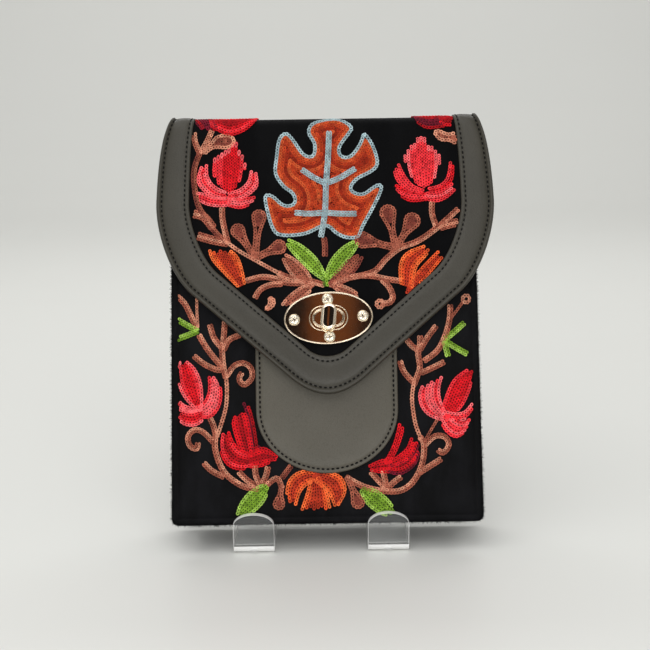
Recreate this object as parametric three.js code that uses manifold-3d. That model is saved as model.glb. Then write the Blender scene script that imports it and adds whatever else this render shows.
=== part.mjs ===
// A flat phone bag of embroidered velvet with a leather-bound flap and an oval turn lock,
// leaning on a clear acrylic display stand. Millimetres, +Z up, the bag's front faces -Y.
// The origin is the middle of the whole in X and Y, on the surface that the stand rests on.
import * as THREE from 'three';
import { mergeVertices } from 'three/addons/utils/BufferGeometryUtils.js';
import Module from 'manifold-3d';

const wasm = await Module();
wasm.setup();

// Body of the bag
const bodyWidth = 160;
const bodyHeight = 210; // from the bottom seam to the fold of the flap
const frontDrop = 7; // how much lower the front panel's mouth ends
const backDrop = 4.2; // the back panel ends inside the flap's fold
const depthAtBottom = 37; // outside, from front face to back face
const depthAtMouth = 26;
const velvetWall = 2;
const frontBulge = 3;
const seamWidth = 3; // raised seam along the sides and the bottom
const seamRise = 0.8;
const bottomCorner = 3.5; // rounding of the panels' bottom corners
const gussetWall = 1.5;
const gussetPinch = 4; // how far the gusset folds in between the panels
const gussetCorner = 7;
const clearance = 0.3; // kept between pieces that touch

// Flap
const flapWidth = 177.6;
const flapShift = 1.2; // the flap sits a little to the right of the body's middle
const flapWall = 2.4;
const flapInset = 0.6; // velvet stops this far inside the leather's outer edge
const frontFoldRadius = 6;
const backFoldRadius = 7;
const foldFlat = 1; // length over the mouth that the profile counts between the two curves
const backLap = 30; // flap sewn down on the back panel
const flapGapTop = 2.2; // between the front panel and the flap
const flapGapTip = 4.6;
const sideCurl = 1.6; // the flap's overhanging edges curl back
const trimWidth = 17.6;
const leatherWall = 1.3;
const bendRise = 14.455; // above the lock, where the flap's sides have turned into the V
const bendPullRise = 22.834; // above the lock, the pull of that bend
const tipStartDrop = 28.175; // below the lock, where the V's sides turn into the tip

// Leather patch on the front panel
const patchWidth = 73.5;
const patchBottom = 25.5; // above the bottom seam
const patchRound = 33; // height of its rounded end
const patchTop = 132;

// Turn lock
const lockDrop = 107.8; // below the top fold
const lockToTip = 39.2; // the flap's tip hangs this far below the lock
const lockShift = 0.8; // to the right of the flap's middle
const plateLength = 44.5;
const plateHeight = 26.4;
const plateWall = 1.5;
const plateTilt = THREE.MathUtils.degToRad(2.4); // the plate sits a little crooked
const slotLength = 16;
const slotHeight = 9;
const collarWall = 1.7;
const collarRise = 1.2;
const screwSpan = 35.4;
const screwRise = 19.6;
const screwRadius = 2.8;
const screwHead = 1.3;
const shankRadius = 1.1;
const recessWidth = 0.8; // one arm of the screw's cross recess
const recessDepth = 0.6;
const footLength = 24;
const footHeight = 14;
const footWall = 1.2;
const slotClearance = 0.5;
const knobLength = 14;
const knobWidth = 8;
const knobHeight = 4.4;
const knobTilt = THREE.MathUtils.degToRad(-5.5); // clockwise of upright, as it was left
const pinRadius = 1.5;
const pinLength = 3.6;
const pinSink = 1; // how far the pin reaches into the grip
const pinClearance = 0.05;

// Display stand
const lean = THREE.MathUtils.degToRad(17);
const acrylic = 3.5;
const standShift = -3.5; // the bag stands a little to the right of the stand's middle
const standWidth = 92;
const baseStart = 5; // the base plate begins this far behind the bag's bottom back edge
const baseRear = 74;
const baseCorner = 8;
const armSpacing = 69;
const armWidth = 21;
const armBend = 4; // outer radius where the arm turns up
const tabHeight = 21.6;
const tabRound = 6.5;
const tabTilt = THREE.MathUtils.degToRad(6);
const notchRadius = 2.2;
const backPlateWidth = 78;
const backPlateLength = 128;
const backPlateRound = 26;

// What follows from them
const flapHalf = flapWidth / 2;
const bodyHalf = bodyWidth / 2;
const foldTop = bodyHeight + 2 * clearance + flapWall; // outer face of the flap over the mouth
const frontHeight = bodyHeight - frontDrop;
const flapDrop = lockDrop + lockToTip; // from the top fold to the tip
const besideLock = (below) => (lockDrop + below) / flapDrop; // share of the drop at a level near the lock
const frontCurveLength = frontFoldRadius * Math.PI / 2;
const backCurveLength = backFoldRadius * Math.PI / 2;

// The right half of the flap's outline, from the top fold to the tip. x is a share of half the
// flap's width and drop a share of its drop. inX and inDrop are how far the leather's inner
// edge lies from that point, as shares of the leather's width.
const outline = {
  fold: { x: 0.905, drop: 0, inX: 0.70, inDrop: 0 },
  shoulderPull: { x: 0.985, drop: 0.054, inX: 0.96, inDrop: 0 },
  widest: { x: 1, drop: 0.313, inX: 1, inDrop: 0 },
  sidePull: { x: 1, drop: 0.435, inX: 1, inDrop: 0.40 },
  bendPull: { x: 0.90, drop: besideLock(-bendPullRise), inX: 0.84, inDrop: 0.57 },
  bend: { x: 0.798, drop: besideLock(-bendRise), inX: 0.81, inDrop: 0.59 },
  tipStart: { x: 0.248, drop: besideLock(tipStartDrop), inX: 0.68, inDrop: 0.70 },
  tipPull: { x: 0.117, drop: 1, inX: 0.26, inDrop: 1.12 },
  tip: { x: 0, drop: 1, inX: 0, inDrop: 1.12 },
};

const velvet = new THREE.MeshStandardMaterial({ color: 0x121114, roughness: 0.95, metalness: 0 });
const leather = new THREE.MeshStandardMaterial({ color: 0x65625a, roughness: 0.55, metalness: 0 });
const metal = new THREE.MeshStandardMaterial({ color: 0xd8cdbb, roughness: 0.12, metalness: 1 });
const clearSheet = new THREE.MeshStandardMaterial({
  color: 0xe9eeee, roughness: 0.05, metalness: 0, transparent: true, opacity: 0.35,
});

const lerp = THREE.MathUtils.lerp;
const span = (from, to, steps) => Array.from({ length: steps + 1 }, (_, i) => lerp(from, to, i / steps));

// Solids

function toSolid(geometry) {
  const loose = geometry.index ? geometry.toNonIndexed() : geometry;
  const bare = new THREE.BufferGeometry().setAttribute('position', loose.getAttribute('position'));
  const merged = mergeVertices(bare, 1e-4);
  return new wasm.Manifold(new wasm.Mesh({
    numProp: 3,
    vertProperties: merged.attributes.position.array,
    triVerts: new Uint32Array(merged.index.array),
  }));
}

function toGeometry(solid) {
  const mesh = solid.getMesh();
  const geometry = new THREE.BufferGeometry();
  geometry.setAttribute('position', new THREE.BufferAttribute(mesh.vertProperties, 3));
  geometry.setIndex(new THREE.BufferAttribute(mesh.triVerts, 1));
  const faceted = geometry.toNonIndexed();
  faceted.computeVertexNormals();
  return faceted;
}

// A closed wall between two faces. Each face gives a point for a row and a column.
function wallSolid(outer, inner, rows, columns) {
  const positions = [];
  for (const face of [outer, inner]) {
    for (const row of rows) {
      for (const column of columns) positions.push(...face(row, column));
    }
  }
  const wide = columns.length;
  const at = (face, i, j) => (face * rows.length + i) * wide + j;
  const index = [];
  const quad = (a, b, c, d) => index.push(a, b, c, a, c, d);
  const last = rows.length - 1;
  for (let i = 0; i < last; i++) {
    for (let j = 0; j < wide - 1; j++) {
      quad(at(0, i, j), at(0, i, j + 1), at(0, i + 1, j + 1), at(0, i + 1, j));
      quad(at(1, i, j), at(1, i + 1, j), at(1, i + 1, j + 1), at(1, i, j + 1));
    }
    quad(at(0, i, 0), at(0, i + 1, 0), at(1, i + 1, 0), at(1, i, 0));
    quad(at(0, i, wide - 1), at(1, i, wide - 1), at(1, i + 1, wide - 1), at(0, i + 1, wide - 1));
  }
  for (let j = 0; j < wide - 1; j++) {
    quad(at(0, 0, j), at(1, 0, j), at(1, 0, j + 1), at(0, 0, j + 1));
    quad(at(0, last, j), at(0, last, j + 1), at(1, last, j + 1), at(1, last, j));
  }
  const geometry = new THREE.BufferGeometry();
  geometry.setAttribute('position', new THREE.Float32BufferAttribute(positions, 3));
  geometry.setIndex(index);
  if (toSolid(geometry).volume() < 0) geometry.setIndex(index.reverse());
  return geometry.toNonIndexed();
}

function extrude(shape, depth, options = {}) {
  return new THREE.ExtrudeGeometry(shape, { depth, bevelEnabled: false, curveSegments: 12, ...options });
}

// A slot outline with round ends, lying along X
function oblong(length, height) {
  const end = length / 2 - height / 2;
  const shape = new THREE.Shape();
  shape.absarc(end, 0, height / 2, -Math.PI / 2, Math.PI / 2, false);
  shape.absarc(-end, 0, height / 2, Math.PI / 2, Math.PI * 1.5, false);
  return shape;
}

function roundedRectangle(left, bottom, right, top, radius) {
  const shape = new THREE.Shape();
  shape.absarc(right - radius, bottom + radius, radius, -Math.PI / 2, 0, false);
  shape.absarc(right - radius, top - radius, radius, 0, Math.PI / 2, false);
  shape.absarc(left + radius, top - radius, radius, Math.PI / 2, Math.PI, false);
  shape.absarc(left + radius, bottom + radius, radius, Math.PI, Math.PI * 1.5, false);
  return shape;
}

// Faces of the bag, in the bag's own frame: X across, Z up the back panel, front at -Y

function pouchDepth(z) {
  return lerp(depthAtBottom, depthAtMouth, z / bodyHeight);
}

// How far the front panel's outer face stands from the back face, without its seam
function frontFace(x, z) {
  const across = Math.max(0, 1 - (x / bodyHalf) ** 2);
  const up = Math.max(0, 1 - (2 * z / bodyHeight - 1) ** 2);
  return pouchDepth(z) + frontBulge * across * up;
}

function flapGap(drop) {
  return lerp(flapGapTop, flapGapTip, drop / flapDrop);
}

// How far the flap's outer face stands from the back face. x is counted from the flap's middle.
function flapFace(x, z) {
  const over = Math.max(0, (Math.abs(x) - bodyHalf * 0.9) / (flapHalf - bodyHalf * 0.9));
  return frontFace(x + flapShift, z) + flapGap(foldTop - z) + flapWall - sideCurl * over ** 2;
}

// The flap's profile runs from the tip, over the mouth and down the back. along is 0 at the front
// edge of the top, positive down the front and negative towards the back.
function alongOfDrop(drop) {
  if (drop >= frontFoldRadius) return frontCurveLength + drop - frontFoldRadius;
  return frontFoldRadius * Math.acos(1 - drop / frontFoldRadius);
}

function flapPoint(x, along, offset) {
  const kneeZ = foldTop - frontFoldRadius;
  const kneeY = frontFoldRadius - flapFace(x, kneeZ);
  const backY = clearance + flapWall - backFoldRadius;
  const place = x + flapShift;
  if (along > frontCurveLength) {
    const z = kneeZ - (along - frontCurveLength);
    return [place, -flapFace(x, z) - offset, z];
  }
  if (along >= 0) {
    const turn = along / frontFoldRadius;
    const radius = frontFoldRadius + offset;
    return [place, kneeY - radius * Math.sin(turn), kneeZ + radius * Math.cos(turn)];
  }
  if (along >= -foldFlat) return [place, lerp(kneeY, backY, -along / foldFlat), foldTop + offset];
  // Past the top the profile counts in turns of the back curve, then in millimetres of lap
  const radius = backFoldRadius + offset;
  const past = -along - foldFlat;
  if (past <= backCurveLength) {
    const turn = past / backFoldRadius;
    return [place, backY + radius * Math.sin(turn), foldTop - backFoldRadius + radius * Math.cos(turn)];
  }
  return [place, backY + radius, foldTop - backFoldRadius - (past - backCurveLength)];
}

// Flap outline

function outlinePoint(name, inwards) {
  const row = outline[name];
  return new THREE.Vector2(
    row.x * flapHalf - row.inX * trimWidth * inwards,
    row.drop * flapDrop - row.inDrop * trimWidth * inwards,
  );
}

// Where a curve of the outline reaches a drop below the fold
function shareAtDrop(curve, drop) {
  let [low, high] = [0, 1];
  for (let i = 0; i < 30; i++) {
    const middle = (low + high) / 2;
    if (curve.getPoint(middle).y < drop) low = middle;
    else high = middle;
  }
  return low;
}

// inwards is 0 for the leather's outer edge and 1 for its inner edge
function halfOutline(inwards) {
  const p = (name) => outlinePoint(name, inwards);
  const shoulder = new THREE.QuadraticBezierCurve(p('fold'), p('shoulderPull'), p('widest'));
  const foldDrops = span(0, Math.PI / 2, 4).map((turn) => frontFoldRadius * (1 - Math.cos(turn)));
  const foldShares = foldDrops.map((drop) => shareAtDrop(shoulder, drop));
  const shares = [...foldShares, ...span(foldShares[4], 1, 5).slice(1)];
  const stretches = [
    { curve: new THREE.CubicBezierCurve(p('widest'), p('sidePull'), p('bendPull'), p('bend')), steps: 9 },
    { curve: new THREE.LineCurve(p('bend'), p('tipStart')), steps: 6 },
    { curve: new THREE.QuadraticBezierCurve(p('tipStart'), p('tipPull'), p('tip')), steps: 5 },
  ];
  return [
    ...shares.map((share) => shoulder.getPoint(share)),
    ...stretches.flatMap(({ curve, steps }) => curve.getPoints(steps).slice(1)),
  ];
}

const outerEdge = halfOutline(0);
const innerEdge = halfOutline(1);

function flapHalfWidth(drop) {
  const next = Math.max(1, outerEdge.findIndex((p) => p.y >= drop));
  const [a, b] = [outerEdge[next - 1], outerEdge[next]];
  return lerp(a.x, b.x, (drop - a.y) / (b.y - a.y)) - flapInset;
}

// Body pieces

// Across a panel, close together at the seam and even between the seams
function acrossPanel(half) {
  const inside = half - seamWidth;
  return [-half, ...span(-inside - 0.01, inside + 0.01, 10), half];
}

// Half the panel's width, less at the rounded bottom corners
function panelHalf(z) {
  const left = Math.max(0, bottomCorner - z);
  return bodyHalf - bottomCorner + Math.sqrt(bottomCorner ** 2 - left ** 2);
}

function makeFrontPanel() {
  const seamRows = span(0, 1, 3).slice(0, -1).map((share) => seamWidth * share ** 2);
  const rows = [...seamRows, ...span(seamWidth, frontHeight, 11)];
  const columns = [...acrossPanel(bodyHalf).keys()];
  const seam = (x, z) => (Math.abs(x) > bodyHalf - seamWidth || z < seamWidth ? seamRise : 0);
  const face = (out) => (z, column) => {
    const x = acrossPanel(panelHalf(z))[column];
    return [x, out ? -frontFace(x, z) - seam(x, z) : -frontFace(x, z) + velvetWall, z];
  };
  return wallSolid(face(true), face(false), rows, columns);
}

function makeBackPanel() {
  const shape = roundedRectangle(-bodyHalf, 0, bodyHalf, bodyHeight - backDrop, bottomCorner);
  return extrude(shape, velvetWall, { curveSegments: 3 }).rotateX(Math.PI / 2);
}

// One strip round the sides and the bottom, folded in a little along its middle
function makeGusset() {
  const half = bodyHalf - seamWidth;
  const path = new THREE.Path();
  path.moveTo(-half, frontHeight - clearance);
  path.lineTo(-half, seamWidth + gussetCorner);
  path.absarc(-half + gussetCorner, seamWidth + gussetCorner, gussetCorner, Math.PI, Math.PI * 1.5, false);
  path.lineTo(half - gussetCorner, seamWidth);
  path.absarc(half - gussetCorner, seamWidth + gussetCorner, gussetCorner, Math.PI * 1.5, Math.PI * 2, false);
  path.lineTo(half, frontHeight - clearance);
  const stations = path.curves.flatMap((curve) => {
    const steps = curve.type === 'LineCurve' ? 5 : 6;
    return span(0, 1, steps).slice(0, -1).map((t) => ({ at: curve.getPoint(t), tangent: curve.getTangent(t) }));
  });
  const end = path.curves[path.curves.length - 1];
  stations.push({ at: end.getPoint(1), tangent: end.getTangent(1) });
  const face = (deep) => (row, across) => {
    const { at, tangent } = stations[row];
    const pinch = gussetPinch * Math.abs(tangent.y) * 4 * across * (1 - across) + deep;
    const x = at.x - tangent.y * pinch;
    const z = at.y + tangent.x * pinch;
    const front = -frontFace(x, z) + velvetWall + clearance;
    return [x, lerp(front, -velvetWall - clearance, across), z];
  };
  return wallSolid(face(0), face(gussetWall), [...stations.keys()], span(0, 1, 6));
}

function makePatch() {
  const roundTop = patchBottom + patchRound;
  const rounds = span(0.11, Math.PI / 2, 9).reverse();
  const lower = rounds.map((turn) => ({
    z: roundTop - patchRound * Math.cos(turn),
    half: patchWidth / 2 * Math.sin(turn),
  }));
  const upper = span(patchTop, roundTop, 6).map((z) => ({ z, half: patchWidth / 2 }));
  const rows = [...upper.slice(0, -1), ...lower];
  const face = (offset) => (row, share) => {
    const x = share * row.half;
    return [x, -frontFace(x, row.z) - offset, row.z];
  };
  return wallSolid(face(clearance + leatherWall), face(clearance), rows, span(-1, 1, 8));
}

// Flap pieces

const overTheTop = [
  ...span(-foldFlat - backCurveLength - backLap, -foldFlat - backCurveLength, 2),
  ...span(-foldFlat - backCurveLength, -foldFlat, 4).slice(1),
  ...span(0, frontCurveLength, 4).slice(0, -1),
];

function makeFlapBlank() {
  const downFront = [
    ...span(frontFoldRadius, flapDrop * 0.93, 16),
    ...span(flapDrop * 0.95, flapDrop - flapInset, 4),
  ];
  const dropOfAlong = (along) => frontFoldRadius * (1 - Math.cos(Math.max(0, along) / frontFoldRadius));
  const rows = [
    ...overTheTop.map((along) => ({ along, half: flapHalfWidth(dropOfAlong(along)) })),
    ...downFront.map((drop) => ({ along: alongOfDrop(drop), half: flapHalfWidth(drop) })),
  ];
  const face = (offset) => (row, share) => flapPoint(share * row.half, row.along, offset);
  return wallSolid(face(0), face(-flapWall), rows, span(-1, 1, 14));
}

// The leather band follows the outline down one side, round the tip and up the other side
function makeTrim() {
  const over = overTheTop.filter((along) => along < 0).map((along) => ({
    outer: { x: outerEdge[0].x, along }, inner: { x: innerEdge[0].x, along },
  }));
  const down = outerEdge.map((point, i) => ({
    outer: { x: point.x, along: alongOfDrop(point.y) },
    inner: { x: innerEdge[i].x, along: alongOfDrop(innerEdge[i].y) },
  }));
  const right = [...over, ...down];
  const left = right.slice(0, -1).reverse().map(({ outer, inner }) => ({
    outer: { x: -outer.x, along: outer.along }, inner: { x: -inner.x, along: inner.along },
  }));
  const face = (offset) => (row, share) => flapPoint(
    lerp(row.outer.x, row.inner.x, share), lerp(row.outer.along, row.inner.along, share), offset,
  );
  return wallSolid(face(clearance + leatherWall), face(clearance), [...right, ...left], span(0, 1, 4));
}

// Turn lock, in a frame with +Z out of the bag and its origin on the flap's face

const screwPlaces = [
  { name: 'left', x: -screwSpan / 2, y: 0 },
  { name: 'right', x: screwSpan / 2, y: 0 },
  { name: 'top', x: 0, y: screwRise / 2 },
  { name: 'bottom', x: 0, y: -screwRise / 2 },
];
const plateFace = clearance + plateWall;
const collarTop = plateFace + collarRise;
const footTop = -flapWall - clearance;
const knobUnder = Math.max(collarTop, plateFace + clearance + screwHead) + clearance;

function makePlate() {
  const rim = 0.4;
  const oval = new THREE.Shape().absellipse(0, 0, plateLength / 2 - rim, plateHeight / 2 - rim, 0, Math.PI * 2);
  const bevel = { bevelEnabled: true, bevelSize: rim, bevelThickness: rim, bevelSegments: 2, curveSegments: 40 };
  const sheet = toSolid(extrude(oval, plateWall - 2 * rim, bevel).translate(0, 0, clearance + rim));
  const collarShape = oblong(slotLength + 2 * collarWall, slotHeight + 2 * collarWall);
  const collar = toSolid(extrude(collarShape, plateWall / 2 + collarRise).translate(0, 0, clearance + plateWall / 2));
  const slot = toSolid(extrude(oblong(slotLength, slotHeight), plateWall * 4).translate(0, 0, -plateWall));
  let plate = sheet.add(collar).subtract(slot);
  for (const { x, y } of screwPlaces) {
    const bore = new THREE.CylinderGeometry(shankRadius + clearance, shankRadius + clearance, plateWall * 4, 12);
    plate = plate.subtract(toSolid(bore.rotateX(Math.PI / 2).translate(x, y, plateWall)));
  }
  return toGeometry(plate);
}

function makeScrew() {
  const under = plateFace + clearance;
  const shankEnd = -flapWall * 0.8;
  const dome = span(0, Math.PI / 2, 4).map((turn) => (
    new THREE.Vector2(screwRadius * Math.cos(turn), under + 0.3 + (screwHead - 0.3) * Math.sin(turn))
  ));
  const profile = [
    new THREE.Vector2(0, shankEnd),
    new THREE.Vector2(shankRadius, shankEnd),
    new THREE.Vector2(shankRadius, under),
    new THREE.Vector2(screwRadius, under),
    ...dome,
  ];
  profile[profile.length - 1].x = 0;
  let screw = toSolid(new THREE.LatheGeometry(profile, 20).rotateX(Math.PI / 2));
  for (const turn of [0, Math.PI / 2]) {
    const arm = new THREE.BoxGeometry(screwRadius * 1.2, recessWidth, 2 * recessDepth);
    screw = screw.subtract(toSolid(arm.rotateZ(turn).translate(0, 0, under + screwHead)));
  }
  return toGeometry(screw);
}

function makeLockFoot() {
  const foot = toSolid(extrude(oblong(footLength, footHeight), footWall).translate(0, 0, footTop - footWall));
  const bossShape = oblong(slotLength - 2 * slotClearance, slotHeight - 2 * slotClearance);
  const boss = toSolid(extrude(bossShape, collarTop - footTop + 0.2).translate(0, 0, footTop - 0.2));
  const boreRadius = pinRadius + pinClearance;
  const bore = new THREE.CylinderGeometry(boreRadius, boreRadius, 2 * (pinLength + clearance), 24);
  return toGeometry(foot.add(boss).subtract(toSolid(bore.rotateX(Math.PI / 2).translate(0, 0, knobUnder))));
}

function makeKnob() {
  const round = 1.7;
  const face = oblong(knobLength - 2 * round, knobWidth - 2 * round);
  const bevel = { bevelEnabled: true, bevelSize: round, bevelThickness: round, bevelSegments: 3, curveSegments: 10 };
  const grip = extrude(face, knobHeight - 2 * round, bevel).translate(0, 0, knobUnder + round).rotateZ(Math.PI / 2);
  const pin = new THREE.CylinderGeometry(pinRadius, pinRadius, pinLength + pinSink, 24).rotateX(Math.PI / 2);
  const pinCentre = knobUnder + pinSink - (pinLength + pinSink) / 2;
  return toGeometry(toSolid(grip).add(toSolid(pin.translate(0, 0, pinCentre))));
}

// Places the lock on the flap's face, square to it
function lockFrame() {
  const z = foldTop - lockDrop;
  const step = plateHeight / 2;
  const slope = Math.atan((flapFace(lockShift, z + step) - flapFace(lockShift, z - step)) / (2 * step));
  const frame = new THREE.Object3D();
  frame.position.set(flapShift + lockShift, -flapFace(lockShift, z), z);
  frame.rotation.x = Math.PI / 2 + slope;
  frame.updateMatrix();
  return frame;
}

// The flap with its slot and its screw holes
function makeFlap(frame) {
  const turned = new THREE.Matrix4().makeRotationZ(plateTilt).premultiply(frame.matrix);
  const depth = flapWall * 6;
  const slot = extrude(oblong(slotLength, slotHeight), depth).translate(0, 0, -depth / 2);
  const holes = screwPlaces.map(({ x, y }) => (
    new THREE.CylinderGeometry(shankRadius + clearance, shankRadius + clearance, depth, 10)
      .rotateX(Math.PI / 2).translate(x, y, 0)
  ));
  const cuts = [slot, ...holes].map((hole) => toSolid(hole.applyMatrix4(turned)));
  return toGeometry(cuts.reduce((flap, cut) => flap.subtract(cut), toSolid(makeFlapBlank())));
}

// Stand, in the stand's frame: the bag's bottom back edge is at Y = 0

const contactHeight = acrylic + clearance + (depthAtBottom + seamRise) * Math.sin(lean);
const bagFront = (depthAtBottom + seamRise) * Math.cos(lean) + clearance;
const tabFoot = bagFront - contactHeight * Math.tan(tabTilt); // inside face of the tab at the floor

function makeBase() {
  const half = standWidth / 2;
  const sheet = toSolid(extrude(roundedRectangle(-half, baseStart, half, baseRear, baseCorner), acrylic));
  const inside = armBend - acrylic;
  const lift = (y, z) => new THREE.Vector2(y - z * Math.tan(tabTilt), z);
  const profile = new THREE.Shape();
  profile.moveTo(baseStart + baseCorner, 0);
  profile.lineTo(baseStart + baseCorner, acrylic);
  profile.lineTo(-tabFoot + inside, acrylic);
  for (const turn of span(0, 1, 5)) {
    const angle = turn * Math.PI / 2;
    const p = lift(-tabFoot + inside * (1 - Math.sin(angle)), acrylic + inside * (1 - Math.cos(angle)));
    profile.lineTo(p.x, p.y);
  }
  for (const [out, z] of [[0, tabHeight], [acrylic, tabHeight]]) {
    const p = lift(-tabFoot - out, z);
    profile.lineTo(p.x, p.y);
  }
  for (const turn of span(0, 1, 6)) {
    const angle = turn * Math.PI / 2;
    const p = lift(-tabFoot - acrylic + armBend * (1 - Math.cos(angle)), armBend * (1 - Math.sin(angle)));
    profile.lineTo(p.x, p.y);
  }
  const face = new THREE.Shape();
  face.moveTo(-armWidth / 2, 0);
  face.lineTo(armWidth / 2, 0);
  face.lineTo(armWidth / 2, tabHeight - tabRound);
  face.absellipse(0, tabHeight - tabRound, armWidth / 2, tabRound, 0, Math.PI, false);
  // A shape drawn in Y and Z runs along X once it is turned
  const upright = new THREE.Matrix4().makeBasis(
    new THREE.Vector3(0, 1, 0), new THREE.Vector3(0, 0, 1), new THREE.Vector3(1, 0, 0),
  );
  const arm = toSolid(extrude(profile, armWidth).translate(0, 0, -armWidth / 2).applyMatrix4(upright));
  const rounding = toSolid(extrude(face, 3 * bagFront, { curveSegments: 16 })
    .rotateX(Math.PI / 2).translate(0, bagFront, 0));
  const notch = new THREE.CylinderGeometry(notchRadius, notchRadius, 2 * armBend, 16).translate(0, -tabFoot - acrylic, 0);
  const finished = arm.intersect(rounding).subtract(toSolid(notch));
  return [-1, 1].reduce((base, side) => base.add(finished.translate([side * armSpacing / 2, 0, 0])), sheet);
}

// Leans behind the bag, its foot cut level with the base
function makeBackPlate() {
  const behind = clearance / Math.cos(lean);
  const bottom = acrylic + clearance;
  const top = bottom + backPlateLength * Math.cos(lean);
  const run = (z) => behind + (z - bottom) * Math.tan(lean);
  const across = acrylic / Math.cos(lean);
  const profile = new THREE.Shape([
    new THREE.Vector2(run(bottom), bottom),
    new THREE.Vector2(run(bottom) + across, bottom),
    new THREE.Vector2(run(top) + across, top),
    new THREE.Vector2(run(top), top),
  ]);
  const upright = new THREE.Matrix4().makeBasis(
    new THREE.Vector3(0, 1, 0), new THREE.Vector3(0, 0, 1), new THREE.Vector3(1, 0, 0),
  );
  const half = backPlateWidth / 2;
  const leaning = toSolid(extrude(profile, backPlateWidth).translate(0, 0, -half).applyMatrix4(upright));
  const face = roundedRectangle(-half, -backPlateRound, half, top, backPlateRound);
  const outlineCut = toSolid(extrude(face, 2 * backPlateLength).rotateX(Math.PI / 2).translate(0, backPlateLength, 0));
  return toGeometry(leaning.intersect(outlineCut));
}

// Assembly

function named(name, geometry, material) {
  const mesh = new THREE.Mesh(geometry, material);
  mesh.name = name;
  return mesh;
}

const bag = new THREE.Group();
bag.rotation.x = -lean;
bag.position.z = acrylic + clearance;
const frame = lockFrame();
bag.add(named('front_panel', makeFrontPanel(), velvet));
bag.add(named('back_panel', makeBackPanel(), velvet));
bag.add(named('gusset', makeGusset(), velvet));
bag.add(named('flap', makeFlap(frame), velvet));
bag.add(named('flap_trim', makeTrim(), leather));
bag.add(named('front_patch', makePatch(), leather));

const lock = new THREE.Group();
lock.position.copy(frame.position);
lock.rotation.copy(frame.rotation);
bag.add(lock);
const plateGroup = new THREE.Group();
plateGroup.rotation.z = plateTilt;
lock.add(plateGroup);
plateGroup.add(named('lock_plate', makePlate(), metal));
plateGroup.add(named('lock_foot', makeLockFoot(), metal));
for (const { name, x, y } of screwPlaces) {
  const screw = named(`lock_screw_${name}`, makeScrew(), metal);
  screw.position.set(x, y, 0);
  plateGroup.add(screw);
}
const knob = named('turn_knob', makeKnob(), metal);
knob.rotation.z = knobTilt;
lock.add(knob);

const stand = new THREE.Group();
stand.position.x = standShift;
stand.add(named('stand_base', toGeometry(makeBase()), clearSheet));
stand.add(named('stand_back', makeBackPlate(), clearSheet));

const assembly = new THREE.Group();
assembly.add(bag, stand);
const middle = new THREE.Box3().setFromObject(assembly, true).getCenter(new THREE.Vector3());
for (const half of [bag, stand]) {
  half.position.x -= middle.x;
  half.position.y -= middle.y;
}

export default assembly;
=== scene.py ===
import random
from math import acos, atan, atan2, cos, hypot, pi, radians, sin, sqrt

import bmesh
import bpy
from mathutils import Matrix, Vector, noise


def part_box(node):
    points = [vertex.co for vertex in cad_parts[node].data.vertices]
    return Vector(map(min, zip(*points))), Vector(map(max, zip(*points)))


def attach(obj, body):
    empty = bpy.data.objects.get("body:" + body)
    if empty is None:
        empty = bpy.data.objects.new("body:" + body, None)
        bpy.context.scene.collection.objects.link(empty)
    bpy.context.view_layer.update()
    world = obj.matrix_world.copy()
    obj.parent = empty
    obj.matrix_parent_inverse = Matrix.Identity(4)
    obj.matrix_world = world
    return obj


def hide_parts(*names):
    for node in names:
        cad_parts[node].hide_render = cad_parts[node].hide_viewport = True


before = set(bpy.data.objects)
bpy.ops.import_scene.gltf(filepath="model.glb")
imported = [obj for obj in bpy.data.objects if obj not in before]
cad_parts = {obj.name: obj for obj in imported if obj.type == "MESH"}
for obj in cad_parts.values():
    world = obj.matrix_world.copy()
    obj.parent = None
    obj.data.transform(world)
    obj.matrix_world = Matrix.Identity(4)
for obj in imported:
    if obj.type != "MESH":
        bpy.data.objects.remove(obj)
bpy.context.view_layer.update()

mm = 0.001


def lerp(a, b, t):
    return a + (b - a) * t


def clamp(value, low=0.0, high=1.0):
    return max(low, min(high, value))


def span(first, last, steps):
    return [lerp(first, last, i / steps) for i in range(steps + 1)]


def fade(value, low, high):
    t = clamp((value - low) / (high - low))
    return t * t * (3 - 2 * t)


def bezier(points, t):
    while len(points) > 1:
        points = [a.lerp(b, t) for a, b in zip(points, points[1:])]
    return points[0]


def bell(value, middle, width):
    return pow(2.718, -((value - middle) / width) ** 2)


def ripple(x, z, wide, high, layer):  # smooth unevenness, up to about 1 each way
    return noise.noise(Vector((x / wide, z / high, layer)))


def meshOf(name, bm):
    mesh = bpy.data.meshes.new(name)
    bm.to_mesh(mesh)
    bm.free()
    return mesh


def linked(name, data):
    thing = bpy.data.objects.new(name, data)
    bpy.context.scene.collection.objects.link(thing)
    return thing


# The bag's own frame, in millimetres: x across, z up the back panel, front towards -y
bag = {
    "halfWidth": 80, "height": 210, "frontHeight": 203, "backHeight": 205.8,
    "bottomDepth": 37, "mouthDepth": 26, "bulge": 3, "wall": 2, "corner": 3.5, "lean": radians(17),
}
panelLow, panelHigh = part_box("back_panel")
bagOrigin = Vector(((panelLow.x + panelHigh.x) / 2, panelLow.y + bag["wall"] * mm * cos(bag["lean"]), panelLow.z))
bagPlace = Matrix.Translation(bagOrigin) @ Matrix.Rotation(-bag["lean"], 4, "X") @ Matrix.Scale(mm, 4)

# Camera: close, a little above the middle of the bag, rolled by a degree
shot = {
    "elevation": radians(12.5), "distance": 0.750, "targetHeight": 0.111, "aside": 0.00013,
    "focalPixels": 1436, "pixels": 650, "roll": radians(0.9), "sensor": 36,
}


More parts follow.
